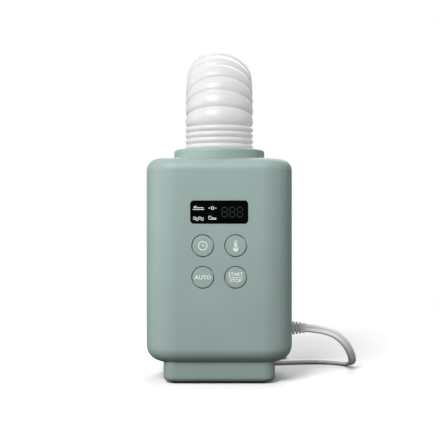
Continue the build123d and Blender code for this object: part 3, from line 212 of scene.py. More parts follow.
SURROUND = 0.36
surround = bpy.data.worlds.new("surround")
bpy.context.scene.world = surround
surround.use_nodes = True
surround_graph = Graph(surround.node_tree)
seen_directly = surround_graph.node("ShaderNodeLightPath", out="Is Camera Ray")
backdrop = surround.node_tree.nodes["Background"]
backdrop.inputs["Color"].default_value = (1.0, 1.0, 1.0, 1)
surround_light = SURROUND + (1.0 - SURROUND) * seen_directly
surround.node_tree.links.new(surround_light.socket, backdrop.inputs["Strength"])
bpy.context.scene.view_settings.view_transform = "Standard"
for lamp_name, lamp_place, lamp_size, power in (
    ("key", (-0.75, -1.5, 1.45), 0.9, 46.0),
    ("left", (-1.6, -0.2, 0.5), 0.8, 6.5),
    ("right", (1.5, -0.5, 0.35), 0.8, 3.0),
    ("back", (0.3, 1.5, 1.4), 1.2, 20.0),
):
    lamp = bpy.data.objects.new(lamp_name, bpy.data.lights.new(lamp_name, "AREA"))
    lamp.data.shape = "SQUARE"
    lamp.data.size = lamp_size
    lamp.data.energy = power
    lamp.location = lamp_place
    lamp.rotation_euler = (Vector((0, 0, 0.17)) - Vector(lamp_place)).to_track_quat("-Z", "Y").to_euler()
    bpy.context.scene.collection.objects.link(lamp)

# Mains lead
# Flat twin flex in light grey PVC, 9.6 mm wide and 5 mm thick, about 1.9 m long. It leaves the right
# side of the case through a ribbed strain relief, drops to the floor, runs round behind the case and
# is wound there into a tied coil of nearly five turns that ends in the moulded two-blade plug.
FLEX_WIDTH = 0.0096
FLEX_THICK = 0.005
CORE_OFFSET = (FLEX_WIDTH - FLEX_THICK) / 2
COIL_CENTRE = Vector((0.024, 0.144, 0.0))
TURN_POINTS = 16
COIL_START = -82.0
COIL_LENGTH_IN_TURNS = 4.82
# Each stage of the winding: turns made so far, radius and height in millimetres
WINDING = (
    (0.0, 57.0, 2.6),
    (0.75, 57.0, 2.6),
    (1.0, 47.0, 2.6),
    (1.5, 47.0, 2.6),
    (1.75, 47.0, 7.8),
    (2.25, 47.0, 7.8),
    (2.5, 57.0, 7.8),
    (3.0, 57.0, 7.8),
    (3.15, 57.0, 13.0),
    (3.4, 47.0, 13.0),
    (4.4, 47.0, 13.0),
    (4.65, 57.0, 13.0),
    (5.0, 57.0, 13.0),
)
to_the_coil = [
    (95.6, 20, 51.8), (112, 20.5, 50.4), (129, 23, 45.5), (142.5, 31, 34), (150.5, 42, 20.5),
    (154.5, 56, 9.6), (153.6, 71.2, 3.8), (146.6, 84.6, 2.6), (134, 93, 2.6), (118, 96.4, 2.62),
    (96, 95, 2.6), (69, 89.5, 2.61), (45, 87.6, 2.6),
]
to_the_plug = [
    (65.3, 98.6, 13.1), (56.5, 89.9, 13.1), (48.0, 84.2, 12.8), (38.5, 80.2, 11.0), (28, 78.2, 8.8),
    (17, 77.9, 7.2), (7, 78, 6.6),
]


def eased(share):
    return share * share * (3 - 2 * share)


def wound(turns):
    """The point of the coil's line that many turns after its start."""
    for (t0, r0, z0), (t1, r1, z1) in zip(WINDING, WINDING[1:]):
        if t0 <= turns <= t1:
            share = eased((turns - t0) / (t1 - t0))
            angle = math.radians(COIL_START - 360 * turns)
            radius = r0 + (r1 - r0) * share + 0.4 * math.sin(3 * angle + turns)
            height = z0 + (z1 - z0) * share
            spot = Vector((radius * math.cos(angle), radius * math.sin(angle), height))
            return COIL_CENTRE + spot / 1000
    raise ValueError(turns)


coil_steps = int(COIL_LENGTH_IN_TURNS * TURN_POINTS)
flex_route = [Vector(p) / 1000 for p in to_the_coil]
flex_route += [wound(step / TURN_POINTS) for step in range(coil_steps + 1)]
flex_route += [Vector(p) / 1000 for p in to_the_plug]


def flowing_line(points):
    """Points along the smooth line that a limp lead takes through its guiding points."""
    curve = bpy.data.curves.new("line", "CURVE")
    curve.dimensions = "3D"
    curve.resolution_u = 10
    spline = curve.splines.new("NURBS")
    spline.points.add(len(points) - 1)
    for point, place in zip(spline.points, points):
        point.co = (*place, 1)
    spline.order_u = 3
    spline.use_endpoint_u = True
    holder = bpy.data.objects.new("line", curve)
    bpy.context.scene.collection.objects.link(holder)
    bpy.context.view_layer.update()
    mesh = bpy.data.meshes.new_from_object(holder)
    line = [v.co.copy() for v in mesh.vertices]
    bpy.data.objects.remove(holder)
    bpy.data.meshes.remove(mesh)
    return line


def flex_section():
    """The outline of the twin flex: two round cores side by side with a shallow groove between."""
    outline = []
    for side in (1, -1):
        for step in range(9):
            angle = math.radians(-125 + step * 250 / 8)
            across = CORE_OFFSET + FLEX_THICK / 2 * math.cos(angle)
            outline.append((side * across, side * FLEX_THICK / 2 * math.sin(angle)))
        outline.append((0, side * FLEX_THICK * 0.34))
    return outline


flex_line = flowing_line(flex_route)
section = flex_section()
corners = []
walked = 0.0
for index, here in enumerate(flex_line):
    before = flex_line[max(index - 1, 0)]
    after = flex_line[min(index + 1, len(flex_line) - 1)]
    walked += (here - before).length
    along = (after - before).normalized()
    side = along.cross(Vector((0, 0, 1))).normalized()
    up = side.cross(along)
    turn = math.radians(90) * eased(min(max((walked - 0.03) / 0.09, 0), 1))
    wide = up * math.cos(turn) + side * math.sin(turn)
    thin = along.cross(wide)
    corners += [here + wide * a + thin * b for a, b in section]
count = len(section)
faces = [
    (
        row * count + k,
        row * count + (k + 1) % count,
        (row + 1) * count + (k + 1) % count,
        (row + 1) * count + k,
    )
    for row in range(len(flex_line) - 1)
    for k in range(count)
]
faces.append(tuple(reversed(range(count))))
faces.append(tuple((len(flex_line) - 1) * count + k for k in range(count)))
flex_finish = finish("grey flex", (0.90, 0.905, 0.905), 0.42, mottle=0.04, grain=(1400, 0.000006, 0.3))
flex = shape("mains_flex", corners, faces, flex_finish)


def coat(material, *names):
    """Gives these CAD nodes a material."""
    for name in names:
        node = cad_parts[name]
        if not node.material_slots:
            node.data.materials.append(material)
        for slot in node.material_slots:
            slot.material = material


plug_finish = finish("moulded plug", (0.50, 0.52, 0.52), 0.46, mottle=0.05, grain=(700, 0.00001, 0.3))
blade_finish = finish(
    "plated brass", (0.66, 0.56, 0.36), 0.28, metallic=1.0, mottle=0.08, grain=(400, 0.000004, 0.2)
)
tie_finish = finish("wire tie", (0.06, 0.06, 0.06), 0.5, mottle=0.1, grain=(900, 0.00001, 0.3))
relief_finish = finish("strain relief", (0.84, 0.855, 0.85), 0.48, mottle=0.04, grain=(900, 0.00001, 0.3))
coat(plug_finish, "plug_body")
coat(blade_finish, "plug_blades")
coat(tie_finish, "cord_tie")
coat(relief_finish, "cord_bushing")
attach(flex, "case")
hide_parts("mains_cord", "cord_coil")

# Case, plinth and outlet collar
# Two injection-moulded ABS shells in a greyish sage with a fine matt texture, screwed together from
# behind. A narrower plinth carries them, and a turned collar on top takes the hose.
SAGE = (0.285, 0.372, 0.352)


def even_shading(angle):
    """A tree that joins a node's loose triangles and shades them smooth across shallow edges."""
    tree = bpy.data.node_groups.new("even shading", "GeometryNodeTree")
    tree.interface.new_socket("Geometry", in_out="INPUT", socket_type="NodeSocketGeometry")
    tree.interface.new_socket("Geometry", in_out="OUTPUT", socket_type="NodeSocketGeometry")
    graph = Graph(tree)
    start = graph.node("NodeGroupInput", out=0)
    bare = graph.node("GeometryNodeRemoveAttribute", {}, {"Geometry": start, "Name": "custom_normal"})
    joined = graph.node("GeometryNodeMergeByDistance", {}, {"Geometry": bare, "Distance": 0.000002})
    bend = graph.node("GeometryNodeInputMeshEdgeAngle", out=0)
    shallow = graph.node("FunctionNodeCompare", {"operation": "LESS_THAN"}, {"A": bend, "B": angle})
    soft = graph.node(
        "GeometryNodeSetShadeSmooth", {"domain": "EDGE"}, {"Geometry": joined, "Shade Smooth": shallow}
    )
    whole = graph.node(
        "GeometryNodeSetShadeSmooth", {"domain": "FACE"}, {"Geometry": soft, "Shade Smooth": True}
    )
    end = tree.nodes.new("NodeGroupOutput")
    tree.links.new(whole.socket, end.inputs[0])
    return tree


shading = even_shading(math.radians(28))


def soften(*names, edge=0.0):
    """Even shading for these CAD nodes, and a small radius on their sharp edges."""
    for name in names:
        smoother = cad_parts[name].modifiers.new("even shading", "NODES")
        smoother.node_group = shading
        if edge:
            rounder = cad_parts[name].modifiers.new("edge radius", "BEVEL")
            rounder.width = edge
            rounder.segments = 2
            rounder.limit_method = "ANGLE"
            rounder.angle_limit = math.radians(50)
            rounder.use_clamp_overlap = True


case_finish = finish("sage shell", SAGE, 0.52, mottle=0.03, grain=(1500, 0.00001, 0.35))
PLINTH_SAGE = tuple(c * 0.86 for c in SAGE)
foot_finish = finish("sage plinth", PLINTH_SAGE, 0.55, mottle=0.03, grain=(1500, 0.00001, 0.35))
rubber_finish = finish("foot rubber", (0.05, 0.05, 0.05), 0.8, mottle=0.15, grain=(500, 0.00002, 0.4))
base_finish = finish("black base", (0.03, 0.032, 0.032), 0.6, mottle=0.1, grain=(700, 0.00002, 0.4))
coat(case_finish, "front_case", "rear_case", "outlet_collar", "nozzle_dock")
coat(foot_finish, "plinth")
coat(rubber_finish, "foot_ring")
coat(base_finish, "base_plate")
soften("front_case", "rear_case", "outlet_collar", "nozzle_dock", "plinth", edge=0.0004)
soften("foot_ring", "base_plate")
soften("plug_body", "cord_bushing", "cord_tie")

# Display
# A glossy black acrylic plate, flush in the front, over three light-emitting digits that are off,
# with four small white marks for the drying programmes printed on its back.
window_finish = finish(
    "black window", (0.0012, 0.002, 0.0016), 0.09, mottle=0.1, grain=(60, 0.000001, 0.02),
    **{"Specular IOR Level": 0.03},
)
digit_finish = finish("unlit digits", (0.0028, 0.0036, 0.0026), 0.5, mottle=0.2, grain=(900, 0.000001, 0.1))
mark_finish = finish("white print", (0.80, 0.83, 0.82), 0.6, mottle=0.02, grain=(900, 0.000001, 0.1))
coat(window_finish, "display_window")
soften("display_window")
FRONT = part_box("front_case")[0].y
PRINT_THICK = 0.00006
window_low, window_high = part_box("display_window")
WINDOW_MID = (window_low + window_high) / 2


def printed(name, ribbons, face, material, body):
    """Thin raised print on the plane y = face. A ribbon is a row of its left and right edge points."""
    corners, faces = [], []
    for ribbon, closed in ribbons:
        first = len(corners)
        for left, right in ribbon:
            for y in (face - PRINT_THICK, face + PRINT_THICK):
                corners.append((left[0], y, left[1]))
                corners.append((right[0], y, right[1]))
        rows = len(ribbon)
        for row in range(rows if closed else rows - 1):
            a = first + 4 * row
            b = first + 4 * ((row + 1) % rows)
            faces += [(a, a + 1, b + 1, b), (a + 2, b + 2, b + 3, a + 3)]
            faces += [(a, b, b + 2, a + 2), (a + 1, a + 3, b + 3, b + 1)]
        if not closed:
            last = first + 4 * (rows - 1)
            faces += [(first, first + 2, first + 3, first + 1), (last, last + 1, last + 3, last + 2)]
    made = shape(name, corners, faces, material, smooth=False)
    tidy_normals(made)
    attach(made, body)
    return made


def tidy_normals(made):
    """Turns every face of a closed mesh outwards."""
    held = bmesh.new()
    held.from_mesh(made.data)
    bmesh.ops.recalc_face_normals(held, faces=held.faces)
    held.to_mesh(made.data)
    held.free()


def stroke(points, width):
    """A ribbon of even width along a row of points."""
    ribbon = []
    for index, (x, z) in enumerate(points):
        x0, z0 = points[max(index - 1, 0)]
        x1, z1 = points[min(index + 1, len(points) - 1)]
        length = math.hypot(x1 - x0, z1 - z0)
        across = (-(z1 - z0) / length * width / 2, (x1 - x0) / length * width / 2)
        ribbon.append(((x + across[0], z + across[1]), (x - across[0], z - across[1])))
    return ribbon, False


def ring(x, z, radius, width, steps=40, start=0.0, sweep=360.0):
    """A ribbon round a circle or part of one."""
    closed = sweep >= 360.0
    ribbon = []
    for step in range(steps if closed else steps + 1):
        angle = math.radians(start + sweep * step / steps)
        radii = (radius + width / 2, radius - width / 2)
        ribbon.append(tuple((x + r * math.cos(angle), z + r * math.sin(angle)) for r in radii))
    return ribbon, closed


DIGIT_WIDTH = 0.0052
DIGIT_HEIGHT = 0.0100
DIGIT_PITCH = 0.0080
SEGMENT = 0.0011
SEGMENT_GAP_X = 0.0006
SEGMENT_GAP_Z = 0.0007
digit_x = WINDOW_MID.x + 0.0056
digit_ribbons = []
for digit in range(3):
    x0 = digit_x + digit * DIGIT_PITCH - DIGIT_WIDTH / 2
    x1 = x0 + DIGIT_WIDTH
    for level in (-1, 0, 1):
        z = WINDOW_MID.z + level * DIGIT_HEIGHT / 2
        digit_ribbons.append(stroke([(x0 + SEGMENT_GAP_X, z), (x1 - SEGMENT_GAP_X, z)], SEGMENT))
    for x in (x0, x1):
        for half in (-1, 1):
            z = WINDOW_MID.z + half * DIGIT_HEIGHT / 4
            reach = DIGIT_HEIGHT / 4 - SEGMENT_GAP_Z
            digit_ribbons.append(stroke([(x, z - reach), (x, z + reach)], SEGMENT))
digits = printed("display_digits", digit_ribbons, window_low.y, digit_finish, "case")

LINE = 0.0007
upper, lower = WINDOW_MID.z + 0.0042, WINDOW_MID.z - 0.0058
left, right = WINDOW_MID.x - 0.0216, WINDOW_MID.x - 0.0070
wave_steps = [(left - 0.0055 + k * 0.001, 0.0009 * math.sin(k * 1.15)) for k in range(12)]
shoe = [
    (-0.0038, -0.0014), (-0.0038, 0.0016), (-0.0016, 0.0016), (-0.0010, 0.0),
    (0.0038, -0.0006), (0.0038, -0.0016), (-0.0038, -0.0016),
]
bed_end = [(-0.0052, 0.0004), (-0.0042, 0.0018), (-0.0018, 0.0018)]
marks = [
    stroke([(left - 0.006, upper - 0.0014), (left + 0.006, upper - 0.0014)], LINE),
    stroke([(left - 0.0052, upper + 0.0004), (left + 0.0052, upper + 0.0004)], LINE),
    stroke([(left + x, upper + z) for x, z in bed_end], LINE),
    ring(right, upper, 0.0014, LINE),
    stroke([(right - 0.0042, upper), (right - 0.0026, upper)], LINE),
    stroke([(right + 0.0026, upper), (right + 0.0042, upper)], LINE),
    stroke([(x, lower + z) for x, z in wave_steps], LINE),
    stroke([(x, lower - 0.0020 + z) for x, z in wave_steps], LINE),
    stroke([(right + x, lower + z) for x, z in shoe], LINE),
]
programme_marks = printed("programme_marks", marks, window_low.y, mark_finish, "case")

# Buttons
# Four round keys of the same moulding as the case, each standing in its own round hole with a thin
# dark gap. Their marks are pad printed in white: a clock, a thermometer, AUTO, and START over STOP.
key_finish = finish("sage keys", tuple(c * 1.02 for c in SAGE), 0.5, mottle=0.02, grain=(1500, 0.00001, 0.35))
keys = {
    "button_timer": "timer",
    "button_temperature": "temperature",
    "button_auto": "auto",
    "button_start": "start",
}
coat(key_finish, *keys)
soften(*keys)


def lettering(name, words, face, material, body):
    """Printed words: each is its text, the place of its middle in X and Z, and the size it fills."""
    corners, faces = [], []
    for text, x, z, width, height in words:
        curve = bpy.data.curves.new("word", "FONT")
        curve.body = text
        curve.align_x = "CENTER"
        curve.resolution_u = 3
        curve.offset = 0.02
        holder = bpy.data.objects.new("word", curve)
        bpy.context.scene.collection.objects.link(holder)
        bpy.context.view_layer.update()
        mesh = bpy.data.meshes.new_from_object(holder)
        xs = [v.co.x for v in mesh.vertices]
        ys = [v.co.y for v in mesh.vertices]
        first = len(corners)
        for v in mesh.vertices:
            corners.append((
                x + (v.co.x - (min(xs) + max(xs)) / 2) * width / (max(xs) - min(xs)),
                face - PRINT_THICK,
                z + (v.co.y - (min(ys) + max(ys)) / 2) * height / (max(ys) - min(ys)),
            ))
        faces += [tuple(first + k for k in face_of.vertices) for face_of in mesh.polygons]
        bpy.data.objects.remove(holder)
        bpy.data.meshes.remove(mesh)
    made = shape(name, corners, faces, material, smooth=False)
    thick = made.modifiers.new("ink", "SOLIDIFY")
    thick.thickness = 2 * PRINT_THICK
    thick.offset = 0
    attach(made, body)
    return made


for node, word in keys.items():
    low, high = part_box(node)
    x, z, face = (low.x + high.x) / 2, (low.z + high.z) / 2, low.y
    if word == "timer":
        mark = printed(
            f"{word}_mark",
            [
                ring(x, z, 0.0044, 0.0009),
                stroke([(x, z + 0.0028), (x, z - 0.0002), (x + 0.0022, z - 0.0002)], 0.0008),
            ],
            face, mark_finish, node,
        )
    elif word == "temperature":
        mark = printed(
            f"{word}_mark",
            [
                ring(x, z - 0.0034, 0.0010, 0.0020),
                ring(x, z - 0.0034, 0.0023, 0.0006, start=118, sweep=304),
                stroke([(x, z - 0.0030), (x, z + 0.0030)], 0.0010),
                stroke([(x - 0.0011, z - 0.0014), (x - 0.0011, z + 0.0042)], 0.0006),
                stroke([(x + 0.0011, z - 0.0014), (x + 0.0011, z + 0.0042)], 0.0006),
                ring(x, z + 0.0042, 0.0011, 0.0006, steps=16, start=0, sweep=180),
            ],
            face, mark_finish, node,
        )
    elif word == "auto":
        mark = lettering(f"{word}_mark", [("AUTO", x, z, 0.0172, 0.0044)], face, mark_finish, node)
    else:
        mark = lettering(
            f"{word}_mark",
            [("START", x, z + 0.0033, 0.0150, 0.0036), ("STOP", x, z - 0.0033, 0.0126, 0.0036)],
            face, mark_finish, node,
        )
        dividing_line = [stroke([(x - 0.0080, z), (x + 0.0080, z)], 0.0006)]
        rule = printed(f"{word}_rule", dividing_line, face, mark_finish, node)

# Accordion hose
# One blow-moulded white polypropylene bellows: four packed folds stand in the collar, five links of
# three folds arch over, and three packed folds go into the nozzle. Every valley is a living hinge.
HOSE_RADIUS = 0.0370
HOSE_DEPTH = 0.0034
HOSE_WALL = 0.0010
BEND_RADIUS = 0.058
PACKED_PITCH = 0.00635
LINKS = 5
FOLDS_PER_LINK = 3
ARCH_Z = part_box("hose_lower")[1].z
AROUND = 72
PER_FOLD = 14


def bellows_tree():
    """Folds along a straight or an arched line, drawn from a grid that is wrapped round it."""
    tree = bpy.data.node_groups.new("bellows", "GeometryNodeTree")
    interface = tree.interface
    sizes = {}
    for label, kind, value in (
        ("Folds", "NodeSocketInt", 3),
        ("Rows per fold", "NodeSocketInt", PER_FOLD),
        ("Around", "NodeSocketInt", AROUND),
        ("Crest radius", "NodeSocketFloat", HOSE_RADIUS),
        ("Fold depth", "NodeSocketFloat", HOSE_DEPTH),
        ("Wall", "NodeSocketFloat", HOSE_WALL),
        ("Bend radius", "NodeSocketFloat", BEND_RADIUS),
        ("First angle", "NodeSocketFloat", 0.0),
        ("Angle per fold", "NodeSocketFloat", 0.0),
        ("Start height", "NodeSocketFloat", 0.0),
        ("Rise per fold", "NodeSocketFloat", 0.0),
        ("Material", "NodeSocketMaterial", None),
    ):
        socket = interface.new_socket(label, in_out="INPUT", socket_type=kind)
        if value is not None:
            socket.default_value = value
    interface.new_socket("Geometry", in_out="OUTPUT", socket_type="NodeSocketGeometry")
    graph = Graph(tree)
    start = tree.nodes.new("NodeGroupInput")
    given = {socket.name: Wire(graph, socket) for socket in start.outputs if socket.name}
    folds = given["Folds"]
    steps = folds * given["Rows per fold"]
    # The grid's rows run out along the outside of the folds and back along the inside
    rows = 2 * steps + 3
    sheet = graph.node(
        "GeometryNodeMeshGrid",
        {},
        {"Size X": 1.0, "Size Y": 1.0, "Vertices X": rows, "Vertices Y": given["Around"] + 1},
    )
    index = graph.node("GeometryNodeInputIndex")
    wide = given["Around"] + 1
    row = graph.node("ShaderNodeMath", {"operation": "FLOOR"}, {0: (index + 0.5) / wide})
    column = index - row * wide
    outward = steps + 0.5 - (row - steps - 0.5).size()
    along = outward.at_most(steps).at_least(0.0)
    inside = graph.node("ShaderNodeMath", {"operation": "GREATER_THAN"}, {0: row, 1: steps + 0.5})
    inside = inside * graph.node("ShaderNodeMath", {"operation": "LESS_THAN"}, {0: row, 1: 2 * steps + 1.5})
    fold = along / given["Rows per fold"]
    phase = graph.node("ShaderNodeMath", {"operation": "FRACT"}, {0: fold})
    off_crest = (2 * phase - 1).size()
    swell = (1 - off_crest**2.3) ** 0.62
    radius = given["Crest radius"] - given["Fold depth"] * (1 - swell) - given["Wall"] * inside
    turn = column * (2 * math.pi) / given["Around"]
    reach = given["Bend radius"] + radius * turn.sine()
    angle = given["First angle"] + given["Angle per fold"] * fold
    x = radius * turn.cosine()
    y = given["Bend radius"] - reach * angle.cosine()
    z = given["Start height"] + reach * angle.sine() + given["Rise per fold"] * fold
    place = graph.node("ShaderNodeCombineXYZ", {}, {"X": x, "Y": y, "Z": z})
    wrapped = graph.node("GeometryNodeSetPosition", {}, {"Geometry": sheet, "Position": place})
    closed = graph.node("GeometryNodeMergeByDistance", {}, {"Geometry": wrapped, "Distance": 0.00001})
    smooth = graph.node("GeometryNodeSetShadeSmooth", {}, {"Geometry": closed})
    whole = graph.node("GeometryNodeRealizeInstances", {}, {"Geometry": smooth})
    coated = {"Geometry": whole, "Material": given["Material"]}
    dressed = graph.node("GeometryNodeSetMaterial", {}, coated)
    end = tree.nodes.new("NodeGroupOutput")
    tree.links.new(dressed.socket, end.inputs[0])
    return tree


def grown(name, tree, values, places=()):
    """The plain mesh object that a tree makes with these values of its named inputs, at these points."""
    seed = bpy.data.meshes.new(f"{name}_holder")
    seed.from_pydata(list(places), [], [])
    holder = bpy.data.objects.new(f"{name}_holder", seed)
    bpy.context.scene.collection.objects.link(holder)
    maker = holder.modifiers.new(name, "NODES")
    maker.node_group = tree
    inputs = [item for item in tree.interface.items_tree if item.in_out == "INPUT"]
    names = {item.name: item.identifier for item in inputs}
    for label, value in values.items():
        maker[names[label]] = value
    bpy.context.view_layer.update()
    evaluated = holder.evaluated_get(bpy.context.evaluated_depsgraph_get())
    mesh = bpy.data.meshes.new_from_object(evaluated)
    mesh.name = name
    made = bpy.data.objects.new(name, mesh)
    bpy.context.scene.collection.objects.link(made)
    bpy.data.objects.remove(holder)
    return made


def hose_finish():
    """White polypropylene; a small constant glow is painted light that lifts its shaded side, standing in for
    the light that comes through its wall.
    """
    thin_wall_and_painted_glow = {
        "Subsurface Weight": 0.5,
        "Subsurface Radius": (1.0, 1.0, 1.0),
        "Subsurface Scale": 0.02,
        # Painted light: a constant glow that brightens the whole hose and lifts its shaded side
        "Emission Color": (1.0, 1.0, 1.0, 1),
        "Emission Strength": 0.15,
    }
    return finish(
        "white hose", (0.60, 0.604, 0.604), 0.38, mottle=0.015, grain=(700, 0.000008, 0.2), **thin_wall_and_painted_glow
    )


white_hose = hose_finish()
folded = bellows_tree()
packed = grown("hose_packed", folded, {
    "Folds": 4,
    "Start height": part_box("hose_lower")[0].z,
    "Rise per fold": PACKED_PITCH,
    "Material": white_hose,
})
tidy_normals(packed)
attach(packed, "case")
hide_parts("hose_lower")
link_angle = math.pi / LINKS
for link in range(LINKS):
    piece = grown(f"hose_link_{link + 1}", folded, {
        "Folds": FOLDS_PER_LINK,
        "First angle": link * link_angle,
        "Angle per fold": link_angle / FOLDS_PER_LINK,
        "Start height": ARCH_Z,
        "Material": white_hose,
    })
    tidy_normals(piece)
    replaced = [f"hose_skin_{link + 1}"] + ([f"hose_ring_{link + 1}"] if link < LINKS - 1 else [])
    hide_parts(*replaced)
    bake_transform(piece)
back = grown("hose_end_folds", folded, {
    "Folds": 3,
    "First angle": math.pi,
    "Start height": ARCH_Z,
    "Rise per fold": -PACKED_PITCH,
    "Material": white_hose,
})
tidy_normals(back)
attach(back, "nozzle")
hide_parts("hose_end")
coat(white_hose, "hose_cuff")
soften("hose_cuff")

# Nozzle, its collar, grille and lifting flap
# Light grey-white mouldings: a ribbed collar clamps the hose, the shell flattens from round to a wide
# slot with a fin grille in its mouth, and a flap on a steel pin lifts the bedding clear of the air.
nozzle_finish = finish("pale nozzle", (0.72, 0.75, 0.745), 0.42, mottle=0.03, grain=(1300, 0.00001, 0.3))
pin_finish = finish(
    "steel pin", (0.55, 0.55, 0.55), 0.3, metallic=1.0, mottle=0.06, grain=(900, 0.000004, 0.2)
)
coat(nozzle_finish, "nozzle_collar", "nozzle_grille", "flap")
coat(pin_finish, "flap_pin")
soften("nozzle_collar", "nozzle_grille", "flap_pin")
soften("flap", edge=0.0004)
NOZZLE_WALL = 0.0022
EAR_THICK = 0.0030
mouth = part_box("nozzle_shell")[0]
nozzle_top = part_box("nozzle_shell")[1].z
NOZZLE_Y = (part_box("nozzle_collar")[0].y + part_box("nozzle_collar")[1].y) / 2
ROUND_HALF = 0.0385
SHOULDER_HALF = (0.058, 0.015)
MOUTH_HALF = (-mouth.x, NOZZLE_Y - mouth.y)
shoulder_z = nozzle_top - 0.048
ARC_STEPS = 12
FLAT_STEPS = 14
LEVELS = 60


def slot_outline(half_width, half_thick, z):
    """Points round a slot with round ends, the same number whatever its size."""
    flat = max(half_width - half_thick, 0.0002)
    places = []
    for side in (1, -1):
        for step in range(2 * ARC_STEPS):
            angle = math.radians(-90 + 180 * step / (2 * ARC_STEPS))
            places.append((side * (flat + half_thick * math.cos(angle)), side * half_thick * math.sin(angle)))
        for step in range(FLAT_STEPS):
            places.append((side * flat * (1 - 2 * step / FLAT_STEPS), side * half_thick))
    return [(x, NOZZLE_Y + y, z) for x, y in places]


def nozzle_halves(z):
    """Half width and half thickness of the shell at a height: a smooth neck, then a slow flare."""
    if z >= shoulder_z:
        share = (nozzle_top - z) / (nozzle_top - shoulder_z)
        eased_share = 0.35 * share + 0.65 * eased(share)
        return tuple(ROUND_HALF + (end - ROUND_HALF) * eased_share for end in SHOULDER_HALF)
    share = (shoulder_z - z) / (shoulder_z - mouth.z)
    return tuple(a + (b - a) * share for a, b in zip(SHOULDER_HALF, MOUTH_HALF))


heights = [nozzle_top + (mouth.z - nozzle_top) * step / LEVELS for step in range(LEVELS + 1)]
rings = [slot_outline(*nozzle_halves(z), z) for z in heights]
rings += [slot_outline(*(h - NOZZLE_WALL for h in nozzle_halves(z)), z) for z in reversed(heights)]
corners = [corner for ring_of in rings for corner in ring_of]
count = len(rings[0])
faces = []
for row in range(len(rings)):
    this_row, next_row = row * count, (row + 1) % len(rings) * count
    faces += [
        (this_row + k, this_row + (k + 1) % count, next_row + (k + 1) % count, next_row + k)
        for k in range(count)
    ]
# The two ears that carry the flap's pin
pin_low, pin_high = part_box("flap_pin")
pin_y, pin_z = (pin_low.y + pin_high.y) / 2, (pin_low.z + pin_high.z) / 2
EAR_RADIUS = 0.0032
EAR_FLARE = 0.003
EAR_ROOT_Y = NOZZLE_Y + 0.012
for side in (-1, 1):
    middle = side * (pin_high.x - EAR_THICK / 2)
    round_end = [math.radians(-90 + 15 * k) for k in range(13)]
    profile = [(pin_y + EAR_RADIUS * math.cos(a), pin_z + EAR_RADIUS * math.sin(a)) for a in round_end]
    profile += [(EAR_ROOT_Y, pin_z + EAR_RADIUS + EAR_FLARE), (EAR_ROOT_Y, pin_z - EAR_RADIUS)]
    first = len(corners)
    for x in (middle - EAR_THICK / 2, middle + EAR_THICK / 2):
        corners += [(x, y, z) for y, z in profile]
    size = len(profile)
    faces += [tuple(first + k for k in range(size)), tuple(first + size + k for k in reversed(range(size)))]
    faces += [
        (first + k, first + size + k, first + size + (k + 1) % size, first + (k + 1) % size)
        for k in range(size)
    ]
nozzle = shape("nozzle_body", corners, faces, nozzle_finish)
tidy_normals(nozzle)
edges_kept = nozzle.modifiers.new("even shading", "NODES")
edges_kept.node_group = shading
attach(nozzle, "nozzle")
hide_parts("nozzle_shell")

RIB_COUNT = 9
RIB_PITCH = 0.0105
RIB_SIZE = (0.0012, 0.0012, 0.050)
flap_low, flap_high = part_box("flap")


def rib_row():
    """Thin bars in an even row about its middle, along the direction it is given."""
    tree = bpy.data.node_groups.new("ribs", "GeometryNodeTree")
    for label, kind in (
        ("Count", "NodeSocketInt"), ("Pitch", "NodeSocketFloat"), ("Size", "NodeSocketVector"),
        ("Middle", "NodeSocketVector"), ("Step", "NodeSocketVector"), ("Material", "NodeSocketMaterial"),
    ):
        tree.interface.new_socket(label, in_out="INPUT", socket_type=kind)
    tree.interface.new_socket("Geometry", in_out="OUTPUT", socket_type="NodeSocketGeometry")
    graph = Graph(tree)
    start = tree.nodes.new("NodeGroupInput")
    given = {socket.name: Wire(graph, socket) for socket in start.outputs if socket.name}
    half_row = (given["Count"] - 1) / -2
    scaled = {"operation": "SCALE"}
    step = graph.node("ShaderNodeVectorMath", scaled, {0: given["Step"], "Scale": given["Pitch"]})
    back = graph.node("ShaderNodeVectorMath", scaled, {0: step, "Scale": half_row})
    origin = graph.node("ShaderNodeVectorMath", {"operation": "ADD"}, {0: given["Middle"], 1: back})
    row = {"Count": given["Count"], "Start Location": origin, "Offset": step}
    line = graph.node("GeometryNodeMeshLine", {}, row)
    bar = graph.node("GeometryNodeMeshCube", {}, {"Size": given["Size"]})
    placed = graph.node("GeometryNodeInstanceOnPoints", {}, {"Points": line, "Instance": bar})
    whole = graph.node("GeometryNodeRealizeInstances", {}, {"Geometry": placed})
    coated = {"Geometry": whole, "Material": given["Material"]}
    dressed = graph.node("GeometryNodeSetMaterial", {}, coated)
    end = tree.nodes.new("NodeGroupOutput")
    tree.links.new(dressed.socket, end.inputs[0])
    return tree


ribs = rib_row()
RIB_DROP = 0.004
flap_ribs = grown("flap_ribs", ribs, {
    "Count": RIB_COUNT,
    "Pitch": RIB_PITCH,
    "Size": RIB_SIZE,
    "Step": (1.0, 0.0, 0.0),
    "Middle": (0.0, flap_high.y, (flap_low.z + flap_high.z) / 2 - RIB_DROP),
    "Material": nozzle_finish,
})
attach(flap_ribs, "flap")

